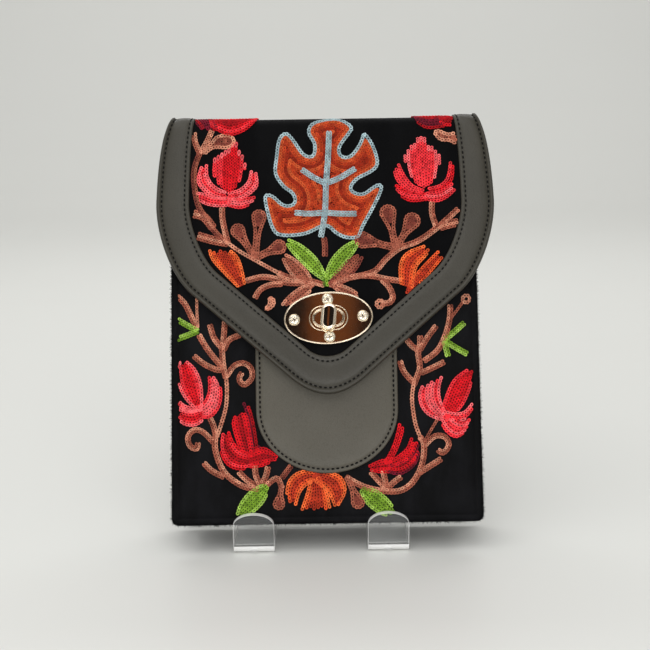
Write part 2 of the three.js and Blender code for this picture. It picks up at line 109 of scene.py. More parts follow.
def makeCamera():
    e, r = shot["elevation"], shot["roll"]
    back = Vector((0, -cos(e), sin(e)))
    right, up = Vector((1, 0, 0)), Vector((0, sin(e), cos(e)))
    across = right * cos(r) - up * sin(r)
    rise = right * sin(r) + up * cos(r)
    target = Vector((bagOrigin.x + shot["aside"], bagOrigin.y, shot["targetHeight"]))
    data = bpy.data.cameras.new("camera")
    data.sensor_width = shot["sensor"]
    data.lens = shot["sensor"] * shot["focalPixels"] / shot["pixels"]
    camera = linked("camera", data)
    place = Matrix((across, rise, back)).transposed().to_4x4()
    place.translation = target + back * shot["distance"]
    camera.matrix_world = place
    bpy.context.scene.camera = camera
    return place


cameraPlace = makeCamera()
bpy.context.scene.view_settings.view_transform = "Standard"
print("camera placed")


# Shader maths: a wire is the output of a node, and takes part in ordinary sums
class Wire:
    def __init__(self, finish, socket):
        self.finish, self.socket = finish, socket

    def sum(self, operation, first, second):
        return self.finish.node("ShaderNodeMath", {"operation": operation}, {0: first, 1: second})

    def __add__(self, other): return self.sum("ADD", self, other)
    def __radd__(self, other): return self.sum("ADD", other, self)
    def __sub__(self, other): return self.sum("SUBTRACT", self, other)
    def __rsub__(self, other): return self.sum("SUBTRACT", other, self)
    def __mul__(self, other): return self.sum("MULTIPLY", self, other)
    def __rmul__(self, other): return self.sum("MULTIPLY", other, self)
    def __pow__(self, other): return self.sum("POWER", self, other)

    def above(self, low, high):
        settings = {"interpolation_type": "SMOOTHSTEP", "clamp": True}
        return self.finish.node("ShaderNodeMapRange", settings, {"Value": self, "From Min": low, "From Max": high})


class Finish:
    def __init__(self, name, constants):
        self.material = bpy.data.materials.new(name)
        self.material.use_nodes = True
        self.tree = self.material.node_tree
        self.shader = self.tree.nodes["Principled BSDF"]
        for socket, value in constants.items():
            self.shader.inputs[socket].default_value = (*value, 1) if isinstance(value, tuple) else value
        self.at = self.node("ShaderNodeTexCoord", output="Object")

    def node(self, kind, settings=None, values=None, output=0):
        made = self.tree.nodes.new(kind)
        for key, value in (settings or {}).items():
            setattr(made, key, value)
        for key, value in (values or {}).items():
            self.join(made.inputs[key], value)
        return Wire(self, made.outputs[output])

    def join(self, socket, value):
        if isinstance(value, Wire):
            self.tree.links.new(value.socket, socket)
        elif socket.type == "RGBA" and len(value) == 3:
            socket.default_value = (*value, 1)
        else:
            socket.default_value = value

    def feed(self, **sockets):
        for name, value in sockets.items():
            self.join(self.shader.inputs[name.replace("_", " ")], value)

    def noise(self, perMetre, detail, rough, stretch=None):
        at = self.node("ShaderNodeMapping", None, {"Vector": self.at, "Scale": stretch}) if stretch else self.at
        values = {"Vector": at, "Scale": perMetre, "Detail": detail, "Roughness": rough}
        return self.node("ShaderNodeTexNoise", None, values)

    def cells(self, vector, perMetre, smooth):
        values = {"Vector": vector, "Scale": perMetre, "Smoothness": smooth}
        return self.node("ShaderNodeTexVoronoi", {"feature": "SMOOTH_F1"}, values)

    def mixed(self, factor, first, second, blend="MIX"):
        settings = {"data_type": "RGBA", "blend_type": blend}
        return self.node("ShaderNodeMix", settings, {0: factor, 6: first, 7: second}, 2)

    def bumped(self, height, strength, depth, under=None):
        values = {"Strength": strength, "Distance": depth, "Height": height}
        if under is not None:
            values["Normal"] = under
        return self.node("ShaderNodeBump", None, values)


def linear(red, green, blue):  # screen colours given 0 to 255, as the shader wants them
    def one(value):
        value /= 255
        return value / 12.92 if value <= 0.04045 else ((value + 0.055) / 1.055) ** 2.4
    return one(red), one(green), one(blue)


def toned(colour, share):
    return tuple(share * part for part in colour)


velvetLook = {
    # The flap's tones are darker than the panels': painted shade on the same velvet
    "panel": (linear(19, 19, 21), linear(10, 10, 11)), "flap": (linear(9, 9, 10), linear(3, 3, 4)),
    "dust": linear(46, 44, 44), "pilePerMetre": 2600,
}


def makeVelvet(name, pile, crushed):
    look = Finish(name, {
        "Specular IOR Level": 0.07, "Sheen Weight": 0.09, "Sheen Roughness": 0.42,
        "Sheen Tint": linear(200, 196, 200),
    })
    # Lighter patches where this noise runs high: partly the brushed pile, partly painted sheen
    brushedSheen = look.noise(70, 3, 0.55, (1, 0.6, 0.45)).above(0.36, 0.66)
    tuft = look.noise(velvetLook["pilePerMetre"], 3, 0.7)
    colour = look.mixed(brushedSheen, crushed, pile)
    colour = look.mixed(tuft.above(0.62, 0.80) * 0.35, colour, velvetLook["dust"])
    wave = look.noise(160, 3, 0.5)
    look.feed(Base_Color=colour, Roughness=0.86 + brushedSheen * 0.1,
              Normal=look.bumped(tuft, 0.55, 0.0005, look.bumped(wave, 0.25, 0.0012)))
    return look.material


leatherLook = {"band": linear(50, 47, 39), "patch": linear(70, 66, 56), "valley": 0.80, "worn": 1.2}


def makeLeather(name, field):
    look = Finish(name, {"Specular IOR Level": 0.31, "Coat Roughness": 0.28})
    warp = look.node("ShaderNodeTexNoise", None, {"Vector": look.at, "Scale": 420, "Detail": 2}, "Color")
    grain = look.cells(look.mixed(0.0016, look.at, warp, "ADD"), 1500, 0.25)
    fine = look.noise(3600, 2, 0.6)
    broad = look.noise(48, 3, 0.55)
    crease = grain.above(0.42, 0.85)
    colour = look.mixed(crease * 0.5, field, toned(field, leatherLook["valley"]))
    colour = look.mixed(broad.above(0.40, 0.72) * 0.4, colour, toned(field, leatherLook["worn"]))
    height = 1 - crease * 0.7 + fine * 0.2
    look.feed(Base_Color=colour, Roughness=0.46 + crease * 0.10 + fine * 0.10, Coat_Weight=0.08 + broad * 0.08,
              Normal=look.bumped(height, 0.34, 0.00014, look.bumped(broad, 0.18, 0.0016)))
    return look.material


def makeMetal(name, colour, roughness):
    look = Finish(name, {"Metallic": 1.0})
    haze = look.noise(260, 3, 0.6)
    scratch = look.noise(1400, 2, 0.6, (1, 1, 9))
    look.feed(Base_Color=look.mixed(haze.above(0.35, 0.7) * 0.25, colour, toned(colour, 0.82)),
              Roughness=roughness + haze * 0.04 + scratch.above(0.6, 0.8) * 0.03,
              Normal=look.bumped(haze, 0.05, 0.00008))
    return look.material


def makeAcrylic(name, body, tint, roughness):  # body is how much of it shows when seen square on
    look = Finish(name, {"IOR": 1.49, "Specular IOR Level": 0.5})
    smear = look.noise(45, 3, 0.5)
    # Painted reflection: the pale sheet grows more solid towards edge-on views, standing in for the acrylic's glare
    edgeOn = look.node("ShaderNodeLayerWeight", None, {"Blend": 0.5}, "Facing")
    seen = body + edgeOn ** 5 * 0.7 + smear.above(0.5, 0.8) * 0.015
    look.feed(Base_Color=look.mixed(smear, tint, toned(tint, 0.94)),
              Roughness=roughness + smear * 0.04, Alpha=look.node("ShaderNodeClamp", None, {"Value": seen}))
    return look.material


def makeThread():
    look = Finish("embroidery thread", {"Specular IOR Level": 0.16, "Sheen Weight": 0.02, "Sheen Roughness": 0.4})
    shade = look.node("ShaderNodeVertexColor", {"layer_name": "thread"})
    fibre = look.noise(4200, 2, 0.6)
    colour = look.mixed(fibre.above(0.38, 0.72) * 0.42, shade, look.mixed(0.72, shade, (0.0, 0.0, 0.0)))
    look.feed(Base_Color=colour, Roughness=0.62 + fibre * 0.12, Normal=look.bumped(fibre, 0.45, 0.00018))
    return look.material


velvet = makeVelvet("black velvet", *velvetLook["panel"])
# Painted shade: the flap gets a darker copy of the panels' velvet
flapVelvetPaintedShade = makeVelvet("flap velvet with painted shade", *velvetLook["flap"])
bandLeather = makeLeather("grey band leather", leatherLook["band"])
patchLeather = makeLeather("grey patch leather", leatherLook["patch"])
plateMetal = makeMetal("pale gold", linear(228, 212, 188), 0.04)
screwMetal = makeMetal("bright screw metal", linear(232, 222, 204), 0.12)
clearAcrylic = makeAcrylic("clear acrylic", 0.045, linear(238, 240, 238), 0.03)
# Painted light: the cut edges are drawn whiter and more solid, standing in for the light the acrylic carries to its
# edges
acrylicEdgePaintedLight = makeAcrylic("acrylic cut edge with painted light", 0.53, linear(250, 250, 248), 0.10)
# Painted light: the bend of the arms is a whiter, more solid sheet standing in for the light it gathers
paintedBendLight = makeAcrylic("painted light in the acrylic bend", 0.73, linear(255, 255, 253), 0.10)
threadFinish = makeThread()
print("finishes made")


# Making pieces
def newPiece(name, bm, finish, replaced=(), body="bag"):
    mesh = meshOf(name, bm)
    for one in finish if isinstance(finish, list) else [finish]:
        mesh.materials.append(one)
    mesh.shade_smooth()
    piece = linked(name, mesh)
    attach(piece, body)
    if replaced:
        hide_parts(*replaced)
    return piece


def closeUp(bm):  # fills open ends and turns all faces outwards
    bmesh.ops.holes_fill(bm, edges=[e for e in bm.edges if e.is_boundary])
    bmesh.ops.recalc_face_normals(bm, faces=bm.faces)


def addWall(piece, thickness):
    wall = piece.modifiers.new("wall", "SOLIDIFY")
    wall.thickness, wall.offset, wall.use_even_offset = thickness * mm, -1, True
    wall.use_quality_normals = True


def gridSheet(columns, rows, point, weld=0, frameOf=bagPlace):
    # point(column, row) gives a place in the frame; the sheet faces the way that columns x rows point
    bm = bmesh.new()
    bmesh.ops.create_grid(bm, x_segments=len(columns) - 1, y_segments=len(rows) - 1, size=1)
    for vert in bm.verts:
        i = round((vert.co.x + 1) / 2 * (len(columns) - 1))
        j = round((vert.co.y + 1) / 2 * (len(rows) - 1))
        vert.co = frameOf @ Vector(point(columns[i], rows[j]))
    if weld:
        bmesh.ops.remove_doubles(bm, verts=bm.verts, dist=weld)
    return bm


# Faces of the bag
def pouchDepth(z):
    return lerp(bag["bottomDepth"], bag["mouthDepth"], z / bag["height"])


def frontFace(x, z):
    across = max(0, 1 - (x / bag["halfWidth"]) ** 2)
    up = max(0, 1 - (2 * z / bag["height"] - 1) ** 2)
    return pouchDepth(z) + bag["bulge"] * across * up


seam = {"width": 3.0, "rise": 1.25, "crease": 0.7, "creaseAt": 3.7, "creaseWide": 0.8, "puff": 0.35, "puffAt": 9,
        "puffWide": 4}


def seamDistance(x, z, half):
    r = bag["corner"]
    if abs(x) > half - r and z < r:
        return r - hypot(abs(x) - (half - r), r - z)
    return min(half - abs(x), z)


def seamRelief(x, z):
    d = max(0, seamDistance(x, z, bag["halfWidth"]))
    middle = seam["width"] / 2
    bead = seam["rise"] * sqrt(max(0, 1 - ((d - middle) / (middle + 0.15)) ** 2))
    crease = seam["crease"] * bell(d, seam["creaseAt"], seam["creaseWide"])
    return bead - crease + seam["puff"] * bell(d, seam["puffAt"], seam["puffWide"])


def dented(x, z):  # the velvet is not quite flat
    return 0.35 * ripple(x, z, 34, 42, 3.1) + 0.12 * ripple(x, z, 11, 13, 7.7)


def panelHalf(z):
    left = max(0, bag["corner"] - z)
    return bag["halfWidth"] - bag["corner"] + sqrt(bag["corner"] ** 2 - left ** 2)


def frontPlace(x, z, offset=0.0):
    return (x, -frontFace(x, z) - seamRelief(x, z) - dented(x, z) - offset, z)


seamSteps = [0, 0.35, 0.8, 1.5, 2.2, 2.7, 3.1, 3.6, 4.1, 4.8, 6, 8]


def backPlace(x, z):
    return (-x, min(0, seamRelief(x, z) - seam["rise"] * 0.9) * 0.5, z)


def makePanel(name, node, height, steps, place):
    half = bag["halfWidth"]
    columns = [-half + d for d in seamSteps] + span(-half + 10, half - 10, 56)
    columns += [half - d for d in reversed(seamSteps)]

    def point(share, z):
        d = (1 - abs(share)) * half
        return place((panelHalf(z) - min(d, panelHalf(z))) * (1 if share >= 0 else -1), z)
    bm = gridSheet([x / half for x in columns], seamSteps + span(10, height, steps), point)
    panel = newPiece(name, bm, velvet, [node])
    addWall(panel, bag["wall"])


gusset = {"wall": 1.5, "pinch": 4, "uneven": 0.35, "corner": 7, "inset": 3, "gap": 0.3}


def gussetPath():
    half, r, low = bag["halfWidth"] - gusset["inset"], gusset["corner"], gusset["inset"]
    top = bag["frontHeight"] - gusset["gap"]

    def corner(middle, first):
        turns = span(first, first + pi / 2, 10)[1:]
        return [(Vector((middle + r * cos(t), low + r + r * sin(t))), Vector((-sin(t), cos(t)))) for t in turns]
    points = [(Vector((-half, z)), Vector((0, -1))) for z in span(top, low + r, 40)]
    points += corner(-half + r, pi)
    points += [(Vector((x, low)), Vector((1, 0))) for x in span(-half + r, half - r, 40)[1:]]
    points += corner(half - r, 1.5 * pi)
    points += [(Vector((half, z)), Vector((0, 1))) for z in span(low + r, top, 40)[1:]]
    return points


def makeGusset():
    path = gussetPath()

    def point(across, index):
        at, tangent = path[index]
        fold = 4 * across * (1 - across)
        pinch = gusset["pinch"] * abs(tangent.y) * fold ** 0.8
        pinch += gusset["uneven"] * fold * (1 + ripple(index, across, 6, 0.5, 1.7))
        x, z = at.x - tangent.y * pinch, at.y + tangent.x * pinch
        front = -frontFace(x, z) + bag["wall"] + gusset["gap"]
        return (x, lerp(front, -bag["wall"] - gusset["gap"], across), z)
    bm = gridSheet(span(0, 1, 16), list(range(len(path))), point)
    strip = newPiece("gusset_velvet", bm, velvet, ["gusset"])
    addWall(strip, gusset["wall"])


makePanel("front_velvet", "front_panel", bag["frontHeight"], 72, frontPlace)
makePanel("back_velvet", "back_panel", bag["backHeight"], 60, backPlace)
makeGusset()
print("panels and gusset made")


# Flap. Drops are counted from the top fold; along follows the profile over the fold to the back
flap = {
    "half": 88.8, "shift": 1.2, "drop": 147, "wall": 2.4, "foldTop": 213, "frontRadius": 6, "backRadius": 7,
    "lap": 30, "gapTop": 2.2, "gapTip": 4.6, "curl": 1.6, "inset": 0.6, "band": 17.6,
    "dent": 0.3, "tipPart": 0.95,
}
outline = {  # share of the half width and of the drop, then how far the leather's inner edge lies inwards
    "fold": (0.905, 0, 0.70, 0), "shoulderPull": (0.985, 0.054, 0.96, 0), "widest": (1, 0.313, 1, 0),
    "sidePull": (1, 0.435, 1, 0.40), "bendPull": (0.90, 0.578, 0.84, 0.57), "bend": (0.798, 0.635, 0.81, 0.59),
    "tipStart": (0.248, 0.925, 0.68, 0.70), "tipPull": (0.117, 1, 0.26, 1.12), "tip": (0, 1, 0, 1.12),
}
frontCurve, backCurve = flap["frontRadius"] * pi / 2, flap["backRadius"] * pi / 2


def outlinePoint(name, inwards):
    x, drop, inX, inDrop = outline[name]
    shift = flap["band"] * inwards
    return Vector((x * flap["half"] - inX * shift, drop * flap["drop"] - inDrop * shift))


def halfOutline(inwards):
    stretches = [
        (("fold", "shoulderPull", "widest"), 26), (("widest", "sidePull", "bendPull", "bend"), 30),
        (("bend", "tipStart"), 26), (("tipStart", "tipPull", "tip"), 18),
    ]
    points = [outlinePoint("fold", inwards)]
    for names, steps in stretches:
        corners = [outlinePoint(name, inwards) for name in names]
        points += [bezier(corners, t) for t in span(0, 1, steps)[1:]]
    return points


outerEdge, innerEdge = halfOutline(0), halfOutline(1)


def halfWidthAt(edge, drop):
    for a, b in zip(edge, edge[1:]):
        if b.y >= drop:
            return lerp(a.x, b.x, (drop - a.y) / (b.y - a.y))
    return 0.0


def flapFace(x, z):
    start = bag["halfWidth"] * 0.9
    over = max(0, (abs(x) - start) / (flap["half"] - start))
    gap = lerp(flap["gapTop"], flap["gapTip"], (flap["foldTop"] - z) / flap["drop"])
    return frontFace(x + flap["shift"], z) + gap + flap["wall"] - flap["curl"] * over ** 2


def alongOfDrop(drop):
    r = flap["frontRadius"]
    return frontCurve + drop - r if drop >= r else r * acos(1 - drop / r)


def flapPoint(x, along, offset=0.0):
    top, r = flap["foldTop"], flap["frontRadius"]
    kneeZ = top - r
    kneeY = r - flapFace(x, kneeZ)
    backY = 0.3 + flap["wall"] - flap["backRadius"]
    place = x + flap["shift"]
    if along > frontCurve:
        z = kneeZ - (along - frontCurve)
        return (place, -flapFace(x, z) - offset, z)
    if along >= 0:
        return (place, kneeY - (r + offset) * sin(along / r), kneeZ + (r + offset) * cos(along / r))
    if along >= -1:
        return (place, lerp(kneeY, backY, -along), top + offset)
    past, r = -along - 1, flap["backRadius"] + offset
    if past <= backCurve:
        turn = past / flap["backRadius"]
        return (place, backY + r * sin(turn), top - flap["backRadius"] + r * cos(turn))
    return (place, backY + r, top - flap["backRadius"] - (past - backCurve))


lock = {
    "drop": 107.8, "shift": 0.8, "tilt": radians(2.4), "length": 46.0, "height": 27.4, "halfPlate": 13.2,
    "slotLength": 15.2, "slotHeight": 8.2, "collar": (19.8, 12.8), "cutOut": (8.8, 5.4, 4),
}
lockZ = flap["foldTop"] - lock["drop"]
lockDepths = [flapFace(lock["shift"], lockZ + step) for step in (lock["halfPlate"], 0, -lock["halfPlate"])]
lockSlope = atan((lockDepths[0] - lockDepths[2]) / (2 * lock["halfPlate"]))
lockPlace = bagPlace @ Matrix.Translation((flap["shift"] + lock["shift"], -lockDepths[1], lockZ))
lockPlace = lockPlace @ Matrix.Rotation(pi / 2 + lockSlope, 4, "X")
platePlace = lockPlace @ Matrix.Rotation(lock["tilt"], 4, "Z")


def flapDent(x, along):
    calm = fade(abs(along), 0, 30)
    lockWards = fade(hypot(x - 1, along - 106), 26, 50)
    return calm * lockWards * flap["dent"] * ripple(x, along, 30, 36, 5.5)


overTheTop = span(-1 - backCurve - flap["lap"], -1 - backCurve, 12) + span(-1 - backCurve, -1, 12)[1:]


def makeFlap():
    tipFrom = alongOfDrop(flap["drop"] * flap["tipPart"])
    alongs = overTheTop + span(0, frontCurve, 10)[:-1] + span(frontCurve, tipFrom, 76)
    alongs += span(tipFrom, alongOfDrop(flap["drop"] - flap["inset"]), 10)[1:]
    r = flap["frontRadius"]

    def half(along):
        drop = along - frontCurve + r if along > frontCurve else r * (1 - cos(max(0, along) / r))
        return halfWidthAt(outerEdge, drop) - flap["inset"]

    def point(share, along):
        x = share * half(along)
        return flapPoint(x, along, flapDent(x, along) * (1 - abs(share) ** 4))
    bm = gridSheet(span(-1, 1, 84), list(reversed(alongs)), point)
    back = lockPlace.inverted()
    for face in [f for f in bm.faces if f.normal.y < 0.2]:  # the slot that the lock's post comes through
        at = back @ face.calc_center_median()
        if all(abs(part) < reach for part, reach in zip(at, lock["cutOut"])):
            bm.faces.remove(face)
    bmesh.ops.delete(bm, geom=[v for v in bm.verts if not v.link_faces], context="VERTS")
    piece = newPiece("flap_velvet", bm, flapVelvetPaintedShade, ["flap"])
    addWall(piece, flap["wall"])


makeFlap()
print("flap made")


# Leather band: a padded strip whose outer edge is rolled over the velvet and sewn
band = {
    "ring": [
        (0.0, -1.2), (0.1, 0.5), (0.36, 1.4), (0.8, 2.0), (1.3, 2.16), (1.85, 1.9), (2.3, 1.35), (2.65, 0.92),
        (2.95, 0.78), (3.35, 0.92), (4.0, 1.35), (5.4, 1.65), (7.5, 1.78), (10, 1.78), (12.5, 1.66),
        (14.0, 1.42), (14.7, 1.12), (15.1, 0.98), (15.5, 1.10), (16.1, 1.38), (16.8, 1.36), (17.35, 1.02),
        (17.6, 0.5), (17.4, 0.12), (12, 0.10), (7, 0.10), (3, 0.10), (0.7, 0.10), (0.62, -2.42), (3.0, -2.46),
        (6.8, -2.46), (7.1, -2.7), (6.8, -3.05), (3.0, -3.1), (1.0, -3.0), (0.3, -2.4),
    ],
    "stitches": ((3.0, 1.10), (15.1, 1.24)), "pucker": 0.16,
}


def bandRows():
    right = [(outerEdge[0].x, innerEdge[0].x, along, along) for along in overTheTop]
    right += [(a.x, b.x, alongOfDrop(a.y), alongOfDrop(b.y)) for a, b in zip(outerEdge, innerEdge)]
    left = [(-a, -b, along, inAlong) for a, b, along, inAlong in reversed(right[:-1])]
    return right + left


def bandPoint(row, d, offset):
    outX, inX, outAlong, inAlong = row
    share = d / flap["band"]
    return flapPoint(lerp(outX, inX, share), lerp(outAlong, inAlong, share), offset)


bandLines = bandRows()


def bandPucker(index, d):
    field = fade(d, 3.2, 6) * (1 - fade(d, 13, 15))
    return band["pucker"] * field * ripple(index, d, 7, 6, 2.2)


def makeBand():
    ring = band["ring"] + band["ring"][:1]

    def point(place, index):
        d, offset = ring[place]
        return bandPoint(bandLines[index], d, offset + (bandPucker(index, d) if offset > 0.3 else 0))
    bm = gridSheet(list(range(len(ring))), list(range(len(bandLines))), point, weld=1e-5)
    closeUp(bm)
    newPiece("flap_band", bm, bandLeather, ["flap_trim"])


makeBand()

patch = {
    "half": 36.75, "low": 25.5, "round": 33, "top": 132, "shift": 0.5,
    "ring": [(0.0, 0.25), (0.1, 0.9), (0.4, 1.3), (0.9, 1.45), (1.5, 1.35), (1.95, 1.05), (2.2, 0.95), (2.5, 1.05),
             (3.1, 1.35), (4.5, 1.55), (8, 1.6)],
    "stitch": 2.2, "stitchLift": 1.14, "wall": 0.9,
}


def patchOutline():
    roundTop = patch["low"] + patch["round"]
    right = [Vector((patch["half"], z)) for z in span(patch["top"], roundTop, 30)]
    right += [Vector((patch["half"] * cos(t), roundTop - patch["round"] * sin(t))) for t in span(0, pi / 2, 30)[1:]]
    left = [Vector((-p.x, p.y)) for p in reversed(right[:-1])]
    return right + left


def inwardAt(points, i):
    a, b = points[max(0, i - 1)], points[min(len(points) - 1, i + 1)]
    along = (b - a).normalized()
    return Vector((along.y, -along.x))


def makePatch():
    edge = patchOutline()
    rim = patch["ring"]
    middle = [Vector((0, clamp(p.y, patch["low"] + patch["round"], patch["top"]))) for p in edge]
    stations = list(range(len(rim))) + [len(rim) + k for k in range(5)]

    def point(station, index):
        p, inward = edge[index], inwardAt(edge, index)
        if station < len(rim):
            d, offset = rim[station]
            at = p + inward * d
        else:
            start = p + inward * rim[-1][0]
            at = start.lerp(middle[index], (station - len(rim) + 1) / 5)
            offset = rim[-1][1]
        x, z = at.x + patch["shift"], at.y
        return frontPlace(x, z, offset)
    bm = gridSheet(stations, list(range(len(edge))), point, weld=1e-5)
    bmesh.ops.recalc_face_normals(bm, faces=bm.faces)
    addWall(newPiece("patch_leather", bm, patchLeather, ["front_patch"]), patch["wall"])


makePatch()
print("leather made")


# Thread work. Motifs are outlined in steps of the picture's frame, 650 by 650, and laid on the velvet
def seenFrom(point):
    local = cameraPlace.inverted() @ (bagPlace @ Vector(point))
    f, half = shot["focalPixels"], shot["pixels"] / 2
    return half - f * local.x / local.z, half + f * local.y / local.z


flatTop = flapPoint(0, -1)[1] - flapPoint(0, 0)[1]  # the flat run over the mouth, which counts as one unit there


def flapSurface(x, along, lift=0.0):
    if along < 0:
        along = max(-1, along / flatTop)
    share = clamp(abs(x) / 74)
    return flapPoint(x, along, flapDent(x, along) * (1 - share ** 4) + lift)


# Where a point of the frame is first looked for, in millimetres per step, and how fast the search closes in
onFlapGuess = {"middle": 328, "top": 119, "wide": 0.51, "high": 0.55, "pull": 0.5, "tries": 14, "fold": 125,
               "over": 0.62}
onFrontGuess = {"middle": 327, "bottom": 525, "wide": 0.51, "high": 0.53, "pull": (0.5, 0.52), "tries": 12}


def onFlap(px, py):
    guess = onFlapGuess
    low = max(py, guess["fold"])  # above the fold's height the flap turns over the bag's top
    x, along = (px - guess["middle"]) * guess["wide"], (low - guess["top"]) * guess["high"]
    for _ in range(guess["tries"]):
        sx, sy = seenFrom(flapSurface(x, along))
        x += (px - sx) * guess["pull"]
        along += (low - sy) * guess["pull"]
    return Vector((x, along - max(0, guess["fold"] - py) * guess["over"]))


def onFront(px, py):
    guess = onFrontGuess
    x, z = (px - guess["middle"]) * guess["wide"], (guess["bottom"] - py) * guess["high"]
    for _ in range(guess["tries"]):
        sx, sy = seenFrom(frontPlace(x, z))
        x += (px - sx) * guess["pull"][0]
        z -= (py - sy) * guess["pull"][1]
    return Vector((x, z))


def laidPlace(surface, at, heading, lift):
    # heading is the row's direction on the cloth; gives the place and the turn of one stitch
    ahead = heading * chain["feel"]
    aside = Vector((-ahead.y, ahead.x))
    middle, after, before, left, right = [
        Vector(surface(p.x, p.y, lift)) for p in (at, at + ahead, at - ahead, at + aside, at - aside)]
    along = (after - before).normalized()
    across = left - right
    across = (across - along * across.dot(along)).normalized()
    return middle, along, across, along.cross(across)


threadTints = {
    "vine": [(172, 98, 76), (144, 76, 58)], "vineLight": [(214, 150, 122), (186, 114, 90)],
    "vineDark": [(138, 68, 54), (114, 52, 42)],
    "pink": [(250, 112, 116), (236, 84, 90)], "rose": [(240, 58, 66), (226, 42, 52)],
    "red": [(222, 20, 32), (198, 14, 26)], "deepRed": [(176, 8, 20), (148, 6, 18)],
    "burgundy": [(122, 16, 40), (96, 10, 30)],
    "orange": [(228, 92, 42), (212, 76, 34)], "orangeLight": [(238, 116, 58), (226, 98, 46)],
    "orangeDark": [(190, 58, 30), (166, 46, 24)],
    "leaf": [(192, 68, 30), (174, 54, 20)], "leafDark": [(166, 46, 18), (144, 36, 12)],
    "leafLight": [(212, 96, 48), (196, 78, 36)],
    "paleBlue": [(164, 182, 186), (146, 166, 170)], "whiteBlue": [(170, 190, 194), (148, 170, 176)],
    "green": [(132, 168, 52), (106, 142, 36)], "greenLight": [(166, 200, 92), (142, 178, 66)],
    "greenDark": [(74, 116, 26), (60, 98, 20)],
}
chain = {
    "pitch": 1.62, "width": 1.9, "loop": 2.55, "strand": 0.74, "spacing": 1.78, "lift": 0.34, "ringSteps": 10,
    "feel": 0.4, "bright": (0.74, 1.26), "uneven": (-0.06, 0.08), "vineSpacing": 0.86, "open": 0.30, "tilt": 0.16,
    "levels": 16,
}
dice = random.Random(4)
stitchStore = {}


def smoothed(points, closed=False, steps=6):
    if len(points) < 3:
        return list(points)
    ends = [points[-1], *points, *points[:2]] if closed else [points[0], *points, points[-1]]
    curve = []
    for a, b, c, d in zip(ends, ends[1:], ends[2:], ends[3:]):
        for step in range(steps):
            t = step / steps
            bent = (2 * a - 5 * b + 4 * c - d) * t * t + (3 * b - a - 3 * c + d) * t ** 3
            curve.append(0.5 * ((2 * b) + (c - a) * t + bent))
    curve.append(points[0] if closed else points[-1])
    return curve


def lengthsAlong(points):
    lengths = [0.0]
    for a, b in zip(points, points[1:]):
        lengths.append(lengths[-1] + (b - a).length)
    return lengths


def evenly(points, step):
    lengths = lengthsAlong(points)
    count = max(1, round(lengths[-1] / step))
    even, j = [], 0
    for i in range(count + 1):
        want = lengths[-1] * i / count
        while j < len(points) - 2 and lengths[j + 1] < want:
            j += 1
        room = lengths[j + 1] - lengths[j]
        even.append(points[j].lerp(points[j + 1], (want - lengths[j]) / room if room else 0))
    return even


freeArea = {  # how far thread keeps away from the lock, the leather and the patch, and its limits on the front
    "lock": (21.8, 12.6), "leather": 0.3, "patch": 0.2, "half": 76.2, "low": 3.6, "high": 170,
}


def freeOnFlap(at):
    drop = at.y - frontCurve + flap["frontRadius"] if at.y > frontCurve else 0.0
    long, high = freeArea["lock"]
    if hypot((at.x - lock["shift"]) / long, (drop - lock["drop"]) / high) < 1:
        return False
    return abs(at.x) < halfWidthAt(innerEdge, drop) - freeArea["leather"]


def freeOnFront(at):
    x, z, margin = at.x - patch["shift"], at.y, freeArea["patch"]
    below = min(0, z - patch["low"] - patch["round"])
    underPatch = hypot(x / (patch["half"] - margin), below / (patch["round"] - margin)) < 1
    return not underPatch and abs(at.x) < freeArea["half"] and freeArea["low"] < z < freeArea["high"]


def clothOf(piece):  # how the picture is laid on it, its surface, and where it is free for thread
    return (onFront, frontPlace, freeOnFront) if "front" in piece else (onFlap, flapSurface, freeOnFlap)


def stitchRow(piece, points, tint, width=1.0, rise=0.0):
    if len(points) < 3:
        return
    surface, free = clothOf(piece)[1:]
    even = evenly(points, chain["pitch"])
    first, second = [linear(*shade) for shade in threadTints[tint]]
    for a, b in zip(even, even[1:]):
        at = a.lerp(b, 0.5)
        heading = b - a
        if heading.length < 0.2 or not free(at):
            continue
        stretch = heading.length / chain["pitch"]
        heading.normalize()
        shade = dice.uniform(0, 1)
        bright = dice.uniform(*chain["bright"])
        colour = [clamp(lerp(p, q, shade) * bright) for p, q in zip(first, second)]
        lift = chain["lift"] + rise + dice.uniform(*chain["uneven"])
        middle, along, across, out = laidPlace(surface, at, heading, lift)
        stitchStore.setdefault(piece, []).append((middle, along * stretch, across * width, out, colour))


def drawn(piece, pixels):
    return [clothOf(piece)[0](px, py) for px, py in pixels]


def shifted(points, aside):
    moved = []
    for i, p in enumerate(points):
        a, b = points[max(0, i - 1)], points[min(len(points) - 1, i + 1)]
        along = (b - a).normalized()
        moved.append(p + Vector((-along.y, along.x)) * aside)
    return moved


def vine(piece, pixels, rows=2, tints=("vine", "vineLight"), width=0.9, rise=0.0):
    curve = evenly(smoothed(drawn(piece, pixels)), 0.8)
    for row in range(rows):
        aside = (row - (rows - 1) / 2) * chain["spacing"] * chain["vineSpacing"]
        stitchRow(piece, shifted(curve, aside), tints[row % len(tints)], width, rise)


